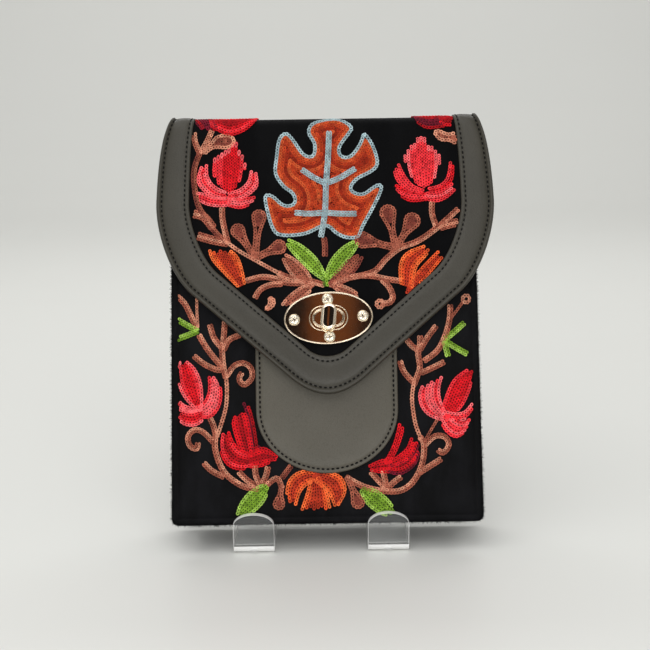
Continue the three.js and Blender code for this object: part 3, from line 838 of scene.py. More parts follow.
def petal(piece, first, second, rows, tints, least=0.6):  # least: how narrow it is where every other row stops
    # rows run from the base to the tip, between two edges
    one = evenly(smoothed(drawn(piece, first)), 0.6)
    two = evenly(smoothed(drawn(piece, second)), 0.6)

    def at(points, t):
        place = t * (len(points) - 1)
        i = min(int(place), len(points) - 2)
        return points[i].lerp(points[i + 1], place - i)
    for row in range(rows):
        share = (row + 0.5) / rows
        depth = min(row, rows - 1 - row)
        tint = tints[min(depth, len(tints) - 1)]
        run = []
        for t in span(0, 1 - 0.04 * ((row * 7) % 3), 44):
            a, b = at(one, t), at(two, t)
            tight = (b - a).length < rows * chain["spacing"] * least
            if not (tight and row % 2):
                run.append(a.lerp(b, share))
            elif run:
                stitchRow(piece, run, tint, rise=0.02 * row)
                run = []
        if run:
            stitchRow(piece, run, tint, rise=0.02 * row)


padding = {"margin": 1.5, "rows": 2.0, "step": 0.7, "inset": 1.6, "wide": 1.1, "sink": -0.42}


def petals(piece, rows, least=0.6):
    for first, second, count, tints in rows:
        petal(piece, first, second, count, tints, least)


def padded(piece, shape, tint):  # low rows under an area, so that no cloth shows between its rows
    (left, right), (low, high) = [(min(side), max(side)) for side in zip(*shape)]
    r = padding["inset"]
    for y in span(low + padding["margin"], high - padding["margin"], max(1, round((high - low) / padding["rows"]))):
        run = []
        for x in span(left, right, max(2, round((right - left) / padding["step"]))):
            if all(inside(x + dx, y + dy, shape) for dx, dy in ((r, 0), (-r, 0), (0, r), (0, -r))):
                run.append(Vector((x, y)))
                continue
            if len(run) > 3:
                stitchRow(piece, run, tint, padding["wide"], padding["sink"])
            run = []


def area(piece, pixels, tints, firstTint=None, under=None):
    # rows that follow the shape's edge, one inside the other
    edge = evenly(smoothed(drawn(piece, pixels), closed=True), 0.55)[:-1]
    if under:
        padded(piece, [tuple(p) for p in edge[::4]], under)
    turning = sum(a.x * b.y - b.x * a.y for a, b in zip(edge, edge[1:] + edge[:1]))
    side = 1 if turning > 0 else -1
    inward = []
    for i in range(len(edge)):
        along = (edge[(i + 2) % len(edge)] - edge[i - 2]).normalized()
        inward.append(Vector((-along.y, along.x)) * side)
    for level in range(chain["levels"]):
        depth = chain["spacing"] * (level + 0.5)
        moved = [p + n * depth for p, n in zip(edge, inward)]
        runs, run = [], []
        for p in moved:
            if min((p - q).length_squared for q in edge) > (depth - (0.5 if level > 1 else 0.16)) ** 2:
                run.append(p)
            elif run:
                runs.append(run)
                run = []
        if run and runs and runs[0][0] is moved[0]:
            runs[0] = run + runs[0]
        elif run:
            runs.append(run)
        if not any(len(run) > 2 for run in runs):
            break
        for run in runs:
            if len(run) > 2:
                closing = len(run) == len(edge)
                tint = firstTint if firstTint and level == 0 else tints[level % len(tints)]
                stitchRow(piece, run + run[:1] if closing else run, tint, 1.14 if level == 0 else 1.0)


fanned = {"rows": 9, "from": -0.25, "to": 1.2, "steps": 90, "gather": 0.62, "wide": 0.45, "tip": 2.6}


def fan(piece, pixels, base, tip, tints):
    # rows that spread from a petal's foot and end where its edge cuts them
    shape = [tuple(p) for p in drawn(piece, pixels)]
    foot, head = drawn(piece, (base, tip))
    axis = (head - foot).normalized()
    side, height = Vector((-axis.y, axis.x)), (head - foot).length
    pace = height * (fanned["to"] - fanned["from"]) / fanned["steps"]
    for row in range(-fanned["rows"], fanned["rows"] + 1):
        curve = []
        for share in span(fanned["from"], fanned["to"], fanned["steps"]):
            spread = lerp(fanned["gather"], 1, clamp(share / fanned["wide"]))
            at = foot + axis * (height * share) + side * (row * chain["spacing"] * spread)
            if inside(at.x, at.y, shape):
                curve.append(at)
            elif len(curve) > 4:
                break
            else:
                curve = []
        if len(curve) > 6:
            last = max(3, len(curve) - round(fanned["tip"] / pace))
            stitchRow(piece, curve[:last], tints[min(abs(row) * len(tints) // 5, len(tints) - 1)])
            stitchRow(piece, curve[last - 1:], "pink")


def disc(px, py, r, steps=12):
    return [(px + r * cos(2 * pi * k / steps), py + r * sin(2 * pi * k / steps)) for k in range(steps)]


budSides = ((0, 1), (0.35, 1), (0.62, 1.06))  # along the stem, and its half width for a foot of 1


def bud(piece, base, head, r, foot=3.4):
    # a stem that widens into a round head
    (bx, by), (hx, hy) = base, head
    length = hypot(hx - bx, hy - by)
    ux, uy = (hx - bx) / length, (hy - by) / length
    reach = 1 - r * 0.5 / length

    def flank(side):
        return [(lerp(bx, hx, along * reach) + side * uy * half, lerp(by, hy, along * reach) - side * ux * half)
                for along, half in [(t, foot * wide) for t, wide in budSides] + [(0.82, r * 0.62)]]
    crown = [(hx + r * (uy * cos(t) + ux * sin(t)), hy + r * (-ux * cos(t) + uy * sin(t))) for t in span(0, pi, 6)]
    area(piece, flank(1) + crown + flank(-1)[::-1], ["vineDark"], "vine", under="vineDark")


bladeSides = ((0, 0.25), (0.2, 0.78), (0.42, 1.0), (0.7, 0.9), (0.9, 0.55), (1, 0.25))  # shares of length and width


def blade(piece, base, tip, width, rows, tints, bend=0.0):
    # a leaf from its base to its tip
    (bx, by), (tx, ty) = base, tip
    length = hypot(tx - bx, ty - by)
    nx, ny = -(ty - by) / length, (tx - bx) / length

    def side(sign):
        aside = [(t, sign * width / 2 * w + bend * sin(pi * t)) for t, w in bladeSides]
        return [(lerp(bx, tx, t) + nx * far, lerp(by, ty, t) + ny * far) for t, far in aside]
    petal(piece, side(1), side(-1), rows, tints)


# The flap's middle leaf
leaf = {
    "edge": [
        (331, 118), (312, 123), (307, 133), (313, 144), (312, 155), (304, 153), (294, 139), (286, 132), (278, 139),
        (275, 158), (274, 174), (282, 187), (292, 195), (293, 203), (284, 204), (273, 195), (264, 195), (266, 212),
        (273, 232), (284, 237), (306, 235), (325, 227), (335, 234), (346, 239), (359, 238), (364, 227), (375, 207),
        (383, 189), (380, 183), (373, 186), (362, 193), (352, 189), (358, 180), (373, 172), (379, 163), (374, 145),
        (364, 132), (359, 143), (350, 155), (342, 155), (341, 147), (351, 133), (353, 127), (343, 120),
    ],
    "middleVein": [(329, 132), (328, 158), (326, 185), (325, 212), (321, 237)],
    "sideVeins": [[(326, 184), (314, 178), (302, 170)], [(328, 183), (340, 178), (355, 169)],
                  [(295, 213), (310, 214), (325, 213), (340, 214), (356, 214)]],
}


def inside(px, py, shape):
    hit = False
    for (ax, ay), (bx, by) in zip(shape, shape[1:] + shape[:1]):
        if (ay > py) != (by > py) and px < (bx - ax) * (py - ay) / (by - ay) + ax:
            hit = not hit
    return hit


def makeLeafStitches():
    area("leaf_thread", leaf["edge"], ["leaf", "leafLight", "leaf", "leafDark", "leafLight", "leaf"], "whiteBlue",
         under="leafDark")
    vine("leaf_veins", leaf["middleVein"], 2, ("paleBlue", "whiteBlue"), rise=0.85)
    for line in leaf["sideVeins"]:
        vine("leaf_veins", line, 2, ("paleBlue", "whiteBlue"), rise=0.75)
    vine("vines_flap", [(324, 238), (325, 246), (325, 256)], 2, ("vineDark", "vine"))
    blade("green_flap", (324, 278), (287, 241), 15, 5, ["greenLight", "green"], 2)
    blade("green_flap", (327, 278), (357, 242), 15, 5, ["greenLight", "green"], -2)
    vine("green_flap", [(324, 274), (326, 286)], 2, ("green", "greenDark"))


middlePetals = [
    ([(226, 191), (219, 185), (214, 176), (212, 166), (214, 159), (220, 154), (224, 152), (229, 149), (231, 143),
      (235, 141), (239, 145), (238, 150), (242, 153), (243, 160), (246, 165), (244, 172), (241, 179), (236, 187),
      (231, 193)], (229, 198), (233, 143), ["red", "red", "rose", "rose"]),
    ([(417, 185), (411, 176), (406, 165), (404, 156), (407, 151), (410, 146), (414, 144), (417, 138), (422, 136),
      (427, 139), (428, 145), (433, 146), (436, 151), (440, 155), (440, 163), (437, 173), (432, 183), (424, 188)],
     (424, 190), (421, 138), ["rose", "rose", "rose", "pink"]),
]
flapFlowers = [
    ([(226, 192), (218, 188), (212, 183), (208, 175), (207, 165)],
     [(226, 200), (213, 199), (203, 191), (197, 181), (202, 165)], 5, ["pink", "pink", "rose"]),
    ([(228, 197), (213, 197), (203, 193), (197, 193)], [(231, 206), (219, 207), (206, 205), (197, 199)], 4,
     ["pink", "rose"]),
    ([(228, 193), (240, 189), (248, 181), (251, 171)], [(229, 200), (243, 199), (254, 191), (258, 185), (256, 171)],
     5, ["pink", "pink", "rose"]),
    ([(228, 198), (243, 198), (255, 197)], [(228, 206), (240, 209), (250, 205), (255, 201)], 4, ["rose", "pink"]),
    ([(424, 190), (413, 185), (405, 175), (399, 164)], [(421, 195), (408, 192), (398, 183), (394, 174), (394, 166)],
     4, ["rose", "rose"]),
    ([(424, 193), (408, 191), (396, 185)], [(428, 200), (411, 202), (400, 196), (394, 188)], 4,
     ["red", "rose", "rose"]),
    ([(428, 188), (440, 185), (447, 177), (450, 162)], [(430, 194), (443, 190), (453, 183), (455, 174), (454, 162)],
     4, ["rose", "red"]),
    ([(426, 193), (440, 190), (452, 183)], [(424, 199), (437, 202), (448, 197), (456, 189)], 5,
     ["rose", "rose", "pink"]),
]


def makeFlapFlowers():
    for shape, base, tip, tints in middlePetals:
        fan("flowers_flap", shape, base, tip, tints)
    petals("flowers_flap", flapFlowers)
    petals("flowers_flap", [
        ([(206, 108), (228, 112), (257, 109)], [(211, 127), (230, 136), (248, 129), (258, 117)], 9,
         ["red", "rose", "red", "deepRed"]),
        ([(188, 108), (193, 120), (201, 129)], [(208, 108), (212, 116), (218, 131)], 8,
         ["burgundy", "deepRed", "burgundy"]),
        ([(412, 110), (424, 117), (440, 116)], [(418, 124), (428, 129), (446, 127)], 5, ["deepRed", "burgundy"]),
        ([(438, 108), (448, 112), (460, 110)], [(440, 124), (448, 127), (460, 124)], 5, ["red", "deepRed"]),
        ([(214, 97), (232, 88), (252, 97)], [(207, 107), (228, 111), (256, 108)], 7, ["red", "deepRed"]),
        ([(418, 98), (434, 90), (452, 97)], [(412, 109), (430, 115), (458, 109)], 7, ["red", "deepRed"]),
    ], 0.4)
    petals("orange_flap", [
        ([(238, 287), (224, 274), (211, 260), (208, 250)], [(245, 284), (243, 269), (239, 257), (232, 251)], 7,
         ["orangeLight", "orange", "orangeDark"]),
        ([(400, 284), (399, 264), (407, 252), (424, 246)], [(413, 288), (417, 268), (424, 259), (432, 249)], 6,
         ["orangeLight", "orange", "orangeDark"]),
        ([(409, 284), (421, 268), (438, 251)], [(405, 297), (424, 280), (444, 256)], 5, ["orange", "orangeDark"]),
    ])


def makeFlapVines():
    name = "vines_flap"
    vine(name, [(201, 151), (195, 166), (194, 182), (198, 205), (206, 218), (215, 232), (227, 243)], 2,
         ("vine", "vineDark"), width=0.84)
    vine(name, [(224, 240), (239, 251), (262, 264), (284, 276)], 1, ("vineLight",), width=1.2)
    vine(name, [(278, 273), (290, 278), (306, 280), (324, 285)])
    vine(name, [(200, 154), (195, 142), (194, 133)])
    vine(name, [(201, 152), (207, 142), (212, 131)], 2, ("vineLight",))
    area(name, [(203, 149), (211, 142), (216, 136), (229, 134), (236, 141), (229, 149), (214, 149), (204, 156)],
         ["vine", "vineDark"], "vineLight", under="vine")
    vine(name, [(213, 228), (204, 217), (194, 214)], 3)
    vine(name, [(228, 243), (212, 240), (198, 236)], 3)
    vine(name, [(222, 208), (223, 222), (228, 243)], 2, ("vine", "vineLight"))
    for head in ((238, 231), (259, 217), (279, 247)):
        bud(name, (255, 258), head, 7.6)
    vine(name, [(246, 281), (262, 277), (276, 279), (288, 283), (308, 283)], 2, ("vineLight", "vine"))
    vine(name, [(282, 284), (270, 285), (260, 290), (255, 298)])
    blade(name, (312, 287), (284, 256), 16, 5, ["vineLight", "vine"])
    blade(name, (314, 284), (283, 306), 12, 4, ["vineLight", "vine"])
    area(name, [(268, 297), (273, 297), (276, 302), (273, 308), (267, 311), (263, 309), (268, 304)], ["vine"],
         "vineLight", under="vineDark")
    name = "vines_flap_right"
    vine(name, [(329, 285), (344, 279), (373, 272), (386, 259), (400, 248), (418, 241), (438, 227), (458, 209)])
    for head in ((363, 240), (388, 213), (412, 221)):
        bud(name, (396, 248), head, 8.6)
    area(name, [(433, 133), (438, 129), (448, 133), (458, 131), (464, 140), (460, 148), (450, 142), (440, 141)],
         ["vine"], "vineLight", under="vine")
    vine(name, [(432, 202), (432, 214), (436, 226)])
    vine(name, [(440, 227), (450, 224), (461, 222)], 3)
    vine(name, [(334, 285), (352, 277), (371, 276), (386, 279), (400, 281)], 2, ("vineLight", "vine"))
    vine(name, [(382, 280), (389, 287), (393, 297), (389, 303), (381, 303)])
    area(name, disc(380, 304, 5.5), ["vine"], "vineLight", under="vineDark")
    blade(name, (331, 286), (361, 256), 15, 5, ["vineDark", "vine"])
    blade(name, (334, 286), (358, 296), 10, 3, ["vineLight", "vine"])


frontFlowers = [
    ([(196, 409), (185, 399), (178, 386), (177, 372), (180, 362)],
     [(202, 407), (203, 392), (201, 379), (195, 368), (187, 362)], 7, ["pink", "rose", "red"]),
    ([(202, 405), (208, 393), (209, 377)], [(203, 418), (211, 418), (219, 409), (222, 396), (220, 384), (213, 375)],
     6, ["rose", "pink", "pink"]),
    ([(202, 405), (192, 407), (184, 405), (177, 398), (172, 396)], [(202, 411), (190, 412), (181, 409), (173, 403)],
     3, ["pink", "rose"]),
    ([(202, 408), (191, 411), (180, 409)], [(206, 418), (196, 426), (184, 425), (178, 418)], 6,
     ["pink", "rose", "red"]),
    ([(252, 452), (250, 432), (247, 414), (243, 403)], [(260, 449), (257, 430), (253, 414), (249, 403)], 4,
     ["burgundy", "deepRed"]),
    ([(243, 457), (236, 440), (232, 424), (235, 417)], [(254, 452), (251, 432), (248, 416), (243, 411)], 6,
     ["red", "red", "deepRed"]),
    ([(252, 455), (240, 449), (233, 441), (229, 432)], [(254, 467), (240, 470), (227, 465), (220, 450), (222, 434)],
     8, ["red", "rose", "red", "deepRed"]),
    ([(248, 454), (260, 447), (268, 449), (277, 457)], [(250, 468), (262, 467), (270, 463), (277, 460)], 6,
     ["red", "red", "deepRed"]),
    ([(441, 412), (446, 394), (454, 379), (467, 370)], [(457, 412), (465, 402), (471, 387), (473, 371)], 8,
     ["rose", "red", "red"]),
    ([(446, 413), (441, 400), (440, 388), (443, 376)], [(441, 420), (429, 416), (421, 408), (418, 396), (421, 387)],
     7, ["pink", "rose", "pink"]),
    ([(446, 411), (456, 413), (465, 411), (472, 403)], [(446, 420), (458, 421), (467, 419), (474, 408)], 4,
     ["pink", "rose"]),
    ([(447, 414), (457, 420), (466, 422), (470, 418)], [(439, 418), (445, 431), (455, 438), (465, 432)], 6,
     ["rose", "pink", "rose"]),
    ([(384, 463), (392, 448), (396, 436), (399, 424)], [(392, 464), (400, 447), (405, 432), (404, 424)], 4,
     ["red", "red"]),
    ([(386, 464), (398, 456), (407, 448), (411, 438)], [(387, 468), (402, 463), (412, 455), (418, 441)], 5,
     ["red", "rose", "red"]),
    ([(387, 466), (402, 462), (412, 455), (418, 444)], [(386, 471), (398, 475), (408, 471), (416, 463), (419, 452)],
     5, ["burgundy", "deepRed", "red"]),
    ([(391, 458), (380, 460), (369, 466)], [(390, 473), (380, 473), (370, 470)], 5, ["red", "red", "deepRed"]),
]


def makeFrontFlowers():
    petals("flowers_front", frontFlowers)
    for first, second, rows in (
        ([(320, 478), (309, 484), (301, 492), (296, 505)],
         [(318, 470), (300, 471), (289, 479), (286, 492), (289, 504)], 6),
        ([(312, 480), (322, 487), (330, 497), (335, 506)],
         [(314, 470), (332, 472), (343, 478), (346, 491), (338, 505)], 7),
        ([(311, 478), (306, 494), (300, 510)], [(321, 478), (328, 494), (332, 509)], 8),
    ):
        petal("orange_front", first, second, rows, ["orangeLight", "orange", "orangeDark", "orangeDark"])
    area("flowers_front", disc(316, 519, 4.2), ["red"])
    blade("green_front", (267, 486), (239, 516), 19, 6, ["greenLight", "green"])
    blade("green_front", (362, 489), (394, 515), 19, 6, ["greenLight", "green"])
    for (fx, fy), tips in (((198, 331), ((175, 318), (174, 340))),
                           ((444, 340), ((464, 323), (467, 354), (448, 356)))):
        for tx, ty in tips:
            vine("green_front", [(fx, fy), ((fx + tx) / 2, (fy + ty) / 2 + 0.5), (tx, ty)], 2,
                 ("greenLight", "green"))


def makeFrontVines():
    name = "vines_front"
    vine(name, [(177, 296), (185, 304), (191, 316), (197, 328)])
    vine(name, [(176, 300), (174, 308)], 1)
    vine(name, [(197, 298), (197, 312), (198, 326)], 1, ("vineLight",))
    vine(name, [(199, 335), (208, 350), (221, 366)])
    vine(name, [(194, 356), (204, 364), (217, 370), (224, 369)])
    for arm in ([(222, 348), (214, 338), (210, 325)], [(223, 346), (224, 335), (225, 322)],
                [(224, 350), (229, 340), (240, 335)]):
        vine(name, arm)
    vine(name, [(222, 346), (223, 364), (226, 378)])
    vine(name, [(226, 376), (227, 389), (226, 407), (221, 425), (217, 437)], 1, ("vineLight",), width=1.25)
    vine(name, [(216, 432), (215, 447), (219, 462), (225, 473), (234, 481), (245, 487), (258, 489)])
    vine(name, [(227, 376), (234, 366), (243, 363), (251, 368), (252, 378), (244, 385), (239, 379), (242, 373)], 2,
         ("vineLight", "vine"), width=0.8)
    vine(name, [(210, 418), (214, 427), (216, 438)])
    vine(name, [(214, 443), (203, 432), (194, 430), (188, 437), (190, 446), (197, 449), (198, 443)], 2,
         ("vineLight", "vine"), width=0.8)
    vine(name, [(204, 463), (212, 471), (224, 477)])
    for arm in ([(260, 484), (256, 476), (255, 466)], [(262, 484), (266, 476), (268, 467)],
                [(256, 486), (247, 480), (239, 472)]):
        vine(name, arm)
    vine(name, [(267, 485), (277, 478), (282, 488)], width=0.8)
    bud(name, (282, 484), (279, 504), 6.4, foot=2.6)
    bud(name, (347, 476), (358, 502), 7.2, foot=3)
    vine(name, [(282, 478), (288, 470), (291, 466)], 2, ("vineDark", "vine"), width=0.8)
    name = "vines_front_right"
    vine(name, [(346, 477), (356, 483), (368, 488), (384, 491), (399, 491), (410, 485), (418, 474), (423, 460),
                (424, 444), (420, 437)])
    vine(name, [(422, 441), (416, 426), (413, 410), (412, 396), (414, 382)], 1, ("vineLight",), width=1.25)
    vine(name, [(414, 385), (418, 374), (420, 367), (418, 353), (420, 345)])
    for arm in ([(386, 488), (378, 480), (371, 472)], [(386, 488), (385, 480), (383, 471)],
                [(388, 488), (394, 482), (401, 477)]):
        vine(name, arm)
    vine(name, [(419, 473), (430, 466), (441, 459)])
    vine(name, [(425, 445), (435, 436), (445, 437), (449, 445), (443, 453), (438, 450)], 2, ("vineLight", "vine"),
         width=0.8)
    vine(name, [(424, 442), (431, 430), (437, 420)], 1)
    for arm in ([(420, 350), (427, 338), (436, 326)], [(418, 350), (412, 346), (407, 340)],
                [(420, 348), (420, 336)]):
        vine(name, arm)
    vine(name, [(421, 373), (432, 368), (444, 362)])
    vine(name, [(400, 361), (404, 372), (414, 383)])
    vine(name, [(424, 361), (436, 352), (442, 343), (447, 330), (450, 316), (450, 305)])
    vine(name, [(451, 318), (457, 310), (462, 303)], 1)
    area(name, disc(466, 299, 5.5), ["vine"], "vineLight", under="vineDark")


def chainTemplate():
    bm = bmesh.new()
    made = bmesh.ops.create_circle(bm, segments=4, radius=chain["strand"] / 2)
    bmesh.ops.rotate(bm, verts=bm.verts, cent=(0, 0, 0), matrix=Matrix.Rotation(pi / 2, 3, "X"))
    bmesh.ops.translate(bm, verts=bm.verts, vec=(1, 0, 0))
    bmesh.ops.spin(bm, geom=bm.verts[:] + bm.edges[:], cent=(0, 0, 0), axis=(0, 0, 1), angle=2 * pi,
                   steps=chain["ringSteps"], use_merge=True)
    bmesh.ops.recalc_face_normals(bm, faces=bm.faces)
    reach, half = (chain["loop"] - chain["strand"]) / 2, (chain["width"] - chain["strand"]) / 2
    for vert in bm.verts:
        turn = atan2(vert.co.y, vert.co.x)
        out = hypot(vert.co.x, vert.co.y) - 1
        c, s = cos(turn), sin(turn)
        y = (half * (1 + chain["open"] * c) + out) * s
        vert.co = Vector(((reach + out) * c, y, vert.co.z + chain["tilt"] * c))
    mesh = meshOf("chain loop", bm)
    mesh.color_attributes.new("thread", "FLOAT_COLOR", "POINT")
    return mesh


def joinStitches(name, placed, template, finish):
    bm = bmesh.new()
    base = [v.co.copy() for v in template.vertices]
    tints = template.color_attributes["thread"].data if "thread" in template.color_attributes else None
    for middle, along, across, out, colour in placed:
        flat = []
        for co in base:
            flat.extend(bagPlace @ (middle + along * co.x + across * co.y + out * co.z))
        template.vertices.foreach_set("co", flat)
        if tints:
            tints.foreach_set("color", (*colour, 1) * len(base))
        bm.from_mesh(template)
    template.vertices.foreach_set("co", [part for co in base for part in co])
    newPiece(name, bm, finish)


makeLeafStitches(), makeFlapFlowers(), makeFlapVines(), makeFrontFlowers(), makeFrontVines()
chainLoop = chainTemplate()
for pieceName, placed in stitchStore.items():
    joinStitches(pieceName, placed, chainLoop, threadFinish)
print("embroidery made,", sum(len(placed) for placed in stitchStore.values()), "stitches")


# Seam stitches of the leather
seamThread = {"long": 1.8, "bandWide": 0.78, "patchWide": 1.0, "bandPitch": 2.6, "patchPitch": 2.5}


def capsuleTemplate(wide):
    bm = bmesh.new()
    bmesh.ops.create_uvsphere(bm, u_segments=8, v_segments=5, radius=0.5)
    for vert in bm.verts:
        x, y, z = vert.co.z, vert.co.x, vert.co.y
        square = (abs(2 * x) ** 1.6) * (1 if x > 0 else -1)
        vert.co = Vector((square * seamThread["long"] / 2, y * wide, z * wide))
    bmesh.ops.recalc_face_normals(bm, faces=bm.faces)
    return meshOf("seam stitch", bm)


def alongLine(points, ups, pitch):
    # places stitches evenly on a line in the bag's frame; ups are the surface's normals there
    lengths = lengthsAlong(points)
    count = int(lengths[-1] / pitch)
    placed, j = [], 0
    for i in range(count):
        want = (i + 0.5) * lengths[-1] / count
        while lengths[j + 1] < want:
            j += 1
        t = (want - lengths[j]) / (lengths[j + 1] - lengths[j])
        middle = points[j].lerp(points[j + 1], t)
        along = (points[j + 1] - points[j]).normalized()
        up = ups[j].lerp(ups[j + 1], t).normalized()
        across = up.cross(along).normalized()
        placed.append((middle, along, across, along.cross(across), None))
    return placed


def makeSeamStitches():
    finish = Finish("black waxed thread", {"Specular IOR Level": 0.12})
    twist = finish.noise(4200, 2, 0.6)
    finish.feed(Base_Color=finish.mixed(twist, linear(6, 6, 7), linear(16, 16, 17)), Roughness=0.55 + twist * 0.2,
                Normal=finish.bumped(twist, 0.4, 0.0001))
    placed = []
    for d, offset in band["stitches"]:
        points = [Vector(bandPoint(row, d, offset)) for row in bandLines]
        ups = [(Vector(bandPoint(row, d, offset + 1)) - p).normalized() for row, p in zip(bandLines, points)]
        placed += alongLine(points, ups, seamThread["bandPitch"])
    joinStitches("band_stitches", placed, capsuleTemplate(seamThread["bandWide"]), finish.material)
    edge = patchOutline()
    sunk = [p + inwardAt(edge, i) * patch["stitch"] for i, p in enumerate(edge)]
    points = [Vector(frontPlace(p.x + patch["shift"], p.y, patch["stitchLift"])) for p in sunk]
    ups = [Vector((0, -1, 0.05))] * len(points)
    placed = alongLine(points, ups, seamThread["patchPitch"])
    joinStitches("patch_stitches", placed, capsuleTemplate(seamThread["patchWide"]), finish.material)


makeSeamStitches()
print("leather stitched")


# Loose pile along the seams
fuzz = {
    "count": 14000, "long": (0.6, 1.7), "thick": (0.16, 0.34), "spread": 1.9, "edge": 0.3, "sunk": 0.25,
    "edgeSunk": (0.2, 1.6), "forwards": 0.55, "tilt": (-0.5, 0.3), "stray": (-0.6, 0.6),
}


def hairTemplate():
    bm = bmesh.new()
    bmesh.ops.create_cone(bm, cap_ends=True, segments=3, radius1=0.5, radius2=0.08, depth=1)
    for vert in bm.verts:
        vert.co = Vector((vert.co.z + 0.5, vert.co.x, vert.co.y))
    return meshOf("hair", bm)


def makeFuzz():
    half, r, top = bag["halfWidth"], bag["corner"], bag["frontHeight"]
    side, arc, flat = top - r, pi * r / 2, 2 * (half - r)
    placed = []
    for i in range(fuzz["count"]):
        at = dice.uniform(0, 2 * side + flat + 2 * arc)
        if at < side:
            p, out = Vector((-half, top - at)), Vector((-1, 0))
        elif at < side + arc:
            t = (at - side) / r
            out = Vector((-cos(t), -sin(t)))
            p = Vector((-half + r, r)) + out * r
        elif at < side + arc + flat:
            p, out = Vector((-half + r + at - side - arc, 0)), Vector((0, -1))
        elif at < side + 2 * arc + flat:
            t = (at - side - arc - flat) / r
            out = Vector((sin(t), -cos(t)))
            p = Vector((half - r, r)) + out * r
        else:
            p, out = Vector((half, r + at - side - 2 * arc - flat)), Vector((1, 0))
        inward = abs(dice.gauss(0, fuzz["spread"]))
        x, z = p.x - out.x * inward, p.y - out.y * inward
        depth = fuzz["sunk"] if inward > fuzz["edge"] else dice.uniform(*fuzz["edgeSunk"])
        root = Vector(frontPlace(x, z, -depth))
        lean = Vector((out.x, dice.uniform(*fuzz["tilt"]) - fuzz["forwards"], out.y))
        lean += Vector([dice.uniform(*fuzz["stray"]) for _ in range(3)])
        lean.normalize()
        across = lean.cross(Vector((dice.random(), dice.random(), dice.random() + 0.1))).normalized()
        thick = dice.uniform(*fuzz["thick"])
        reach = dice.uniform(*fuzz["long"]) * (1 - min(0.6, inward * 0.2))
        placed.append((root, lean * reach, across * thick, lean.cross(across) * thick, None))
    look = Finish("loose pile with painted seam shade", {"Specular IOR Level": 0.05})
    # The hairs are real loose pile; their colour, darker than the velvet, is painted shade along the seams
    fibre = look.noise(900, 2, 0.5)
    look.feed(Base_Color=look.mixed(fibre, linear(3, 3, 3), linear(13, 13, 14)), Roughness=0.85 + fibre * 0.1)
    joinStitches("seam_fuzz", placed, hairTemplate(), look.material)


makeFuzz()
print("seam pile made")


# Turn lock, in a frame with z out of the bag and its origin on the flap's face
def oblongPoint(length, height, turn):
    r, s = min(length, height) / 2, abs(length - height) / 2
    x, y = r * cos(turn), r * sin(turn)
    if length >= height:
        return Vector((x + (s if x >= 0 else -s), y))
    return Vector((x, y + (s if y >= 0 else -s)))


def ovalPoint(length, height, turn):
    return Vector((length / 2 * cos(turn), height / 2 * sin(turn)))


def ringPiece(name, rows, segments, place, replaced, body="bag"):
    # each row is (shape, length, height, z), or a blend of two such shapes: ((one, other, share), z)
    turns = [2 * pi * (i + 0.5) / segments for i in range(segments + 1)]

    def point(turn, row):
        if callable(row[0]):
            at = row[0](row[1], row[2], turn)
        else:
            one, other, share = row[0]
            at = one[0](*one[1:], turn).lerp(other[0](*other[1:], turn), share)
        return (at.x, at.y, row[-1])
    bm = gridSheet(turns, rows, point, weld=2e-6, frameOf=place)
    closeUp(bm)
    newPiece(name, bm, plateMetal, [replaced], body)


def makePlate():
    length, height = lock["length"], lock["height"]
    rows = [(ovalPoint, length - 2 * inset, height - 2 * inset, z) for inset, z in [
        (0.3, 0.3), (0.02, 0.55), (0, 1.55), (0.08, 1.78), (0.25, 1.92), (0.45, 1.9), (0.6, 1.72), (0.75, 1.6),
        (0.82, 1.6), (2.2, 1.6),
    ]]
    inner, collar = (ovalPoint, length - 4.4, height - 4.4), (oblongPoint, *lock["collar"])
    rows += [((inner, collar, share), 1.6) for share in (0.25, 0.5, 0.75, 0.985, 1)]
    rows += [(oblongPoint, lock["slotLength"] + more, lock["slotHeight"] + more, z) for more, z in [
        (4.55, 1.75), (4.4, 2.05), (4.2, 2.15), (4.0, 2.05), (3.85, 1.75), (3.8, 1.7), (3.74, 1.7), (1.76, 1.7),
        (1.7, 1.7),
        (1.65, 1.8), (1.5, 2.2), (1.25, 2.35), (1.0, 2.2), (0.85, 1.8), (0.8, 1.75), (0.72, 1.75), (0.2, 1.75),
        (0.1, 1.7),
        (0, 1.5), (0, 0.3),
    ]]
    rows.append(rows[0])
    ringPiece("turn_lock_plate", rows, 96, platePlace, "lock_plate")


knob = {"length": 13.9, "width": 7.9, "under": 3.7, "rise": 4.4, "tilt": radians(-5.5), "pin": 3.0}


def makeKnob():
    rows = [(oblongPoint, knob["pin"], knob["pin"] + 0.001, z) for z in (0.1, 3.5)]
    rows += [(oblongPoint, knob["width"] - 2 * inset, knob["length"] - 2 * inset, knob["under"] + z) for inset, z in [
        (1.4, 0.0), (0.5, 0.0), (0.12, 0.18), (0, 0.6), (0, 3.4), (0.1, 3.9), (0.35, 4.25), (0.6, 4.32), (0.82, 4.24),
        (1.0, 4.05), (1.06, 4.02), (1.6, 3.96), (2.4, 3.9), (3.1, 3.87), (3.7, 3.86),
    ]]
    place = lockPlace @ Matrix.Rotation(knob["tilt"], 4, "Z")
    ringPiece("turn_lock_knob", rows, 64, place, "turn_knob", "knob")


screw = {
    "radius": 2.9, "rise": 1.3, "under": 2.0, "armWide": 0.66, "armLong": 2.1, "deep": 1.0, "skirt": 0.45,
    "places": {"left": (-17.7, 0, 0.3), "right": (17.7, 0, 0.1), "top": (0, 9.8, 0.5), "bottom": (0, -9.8, 0.2)},
}


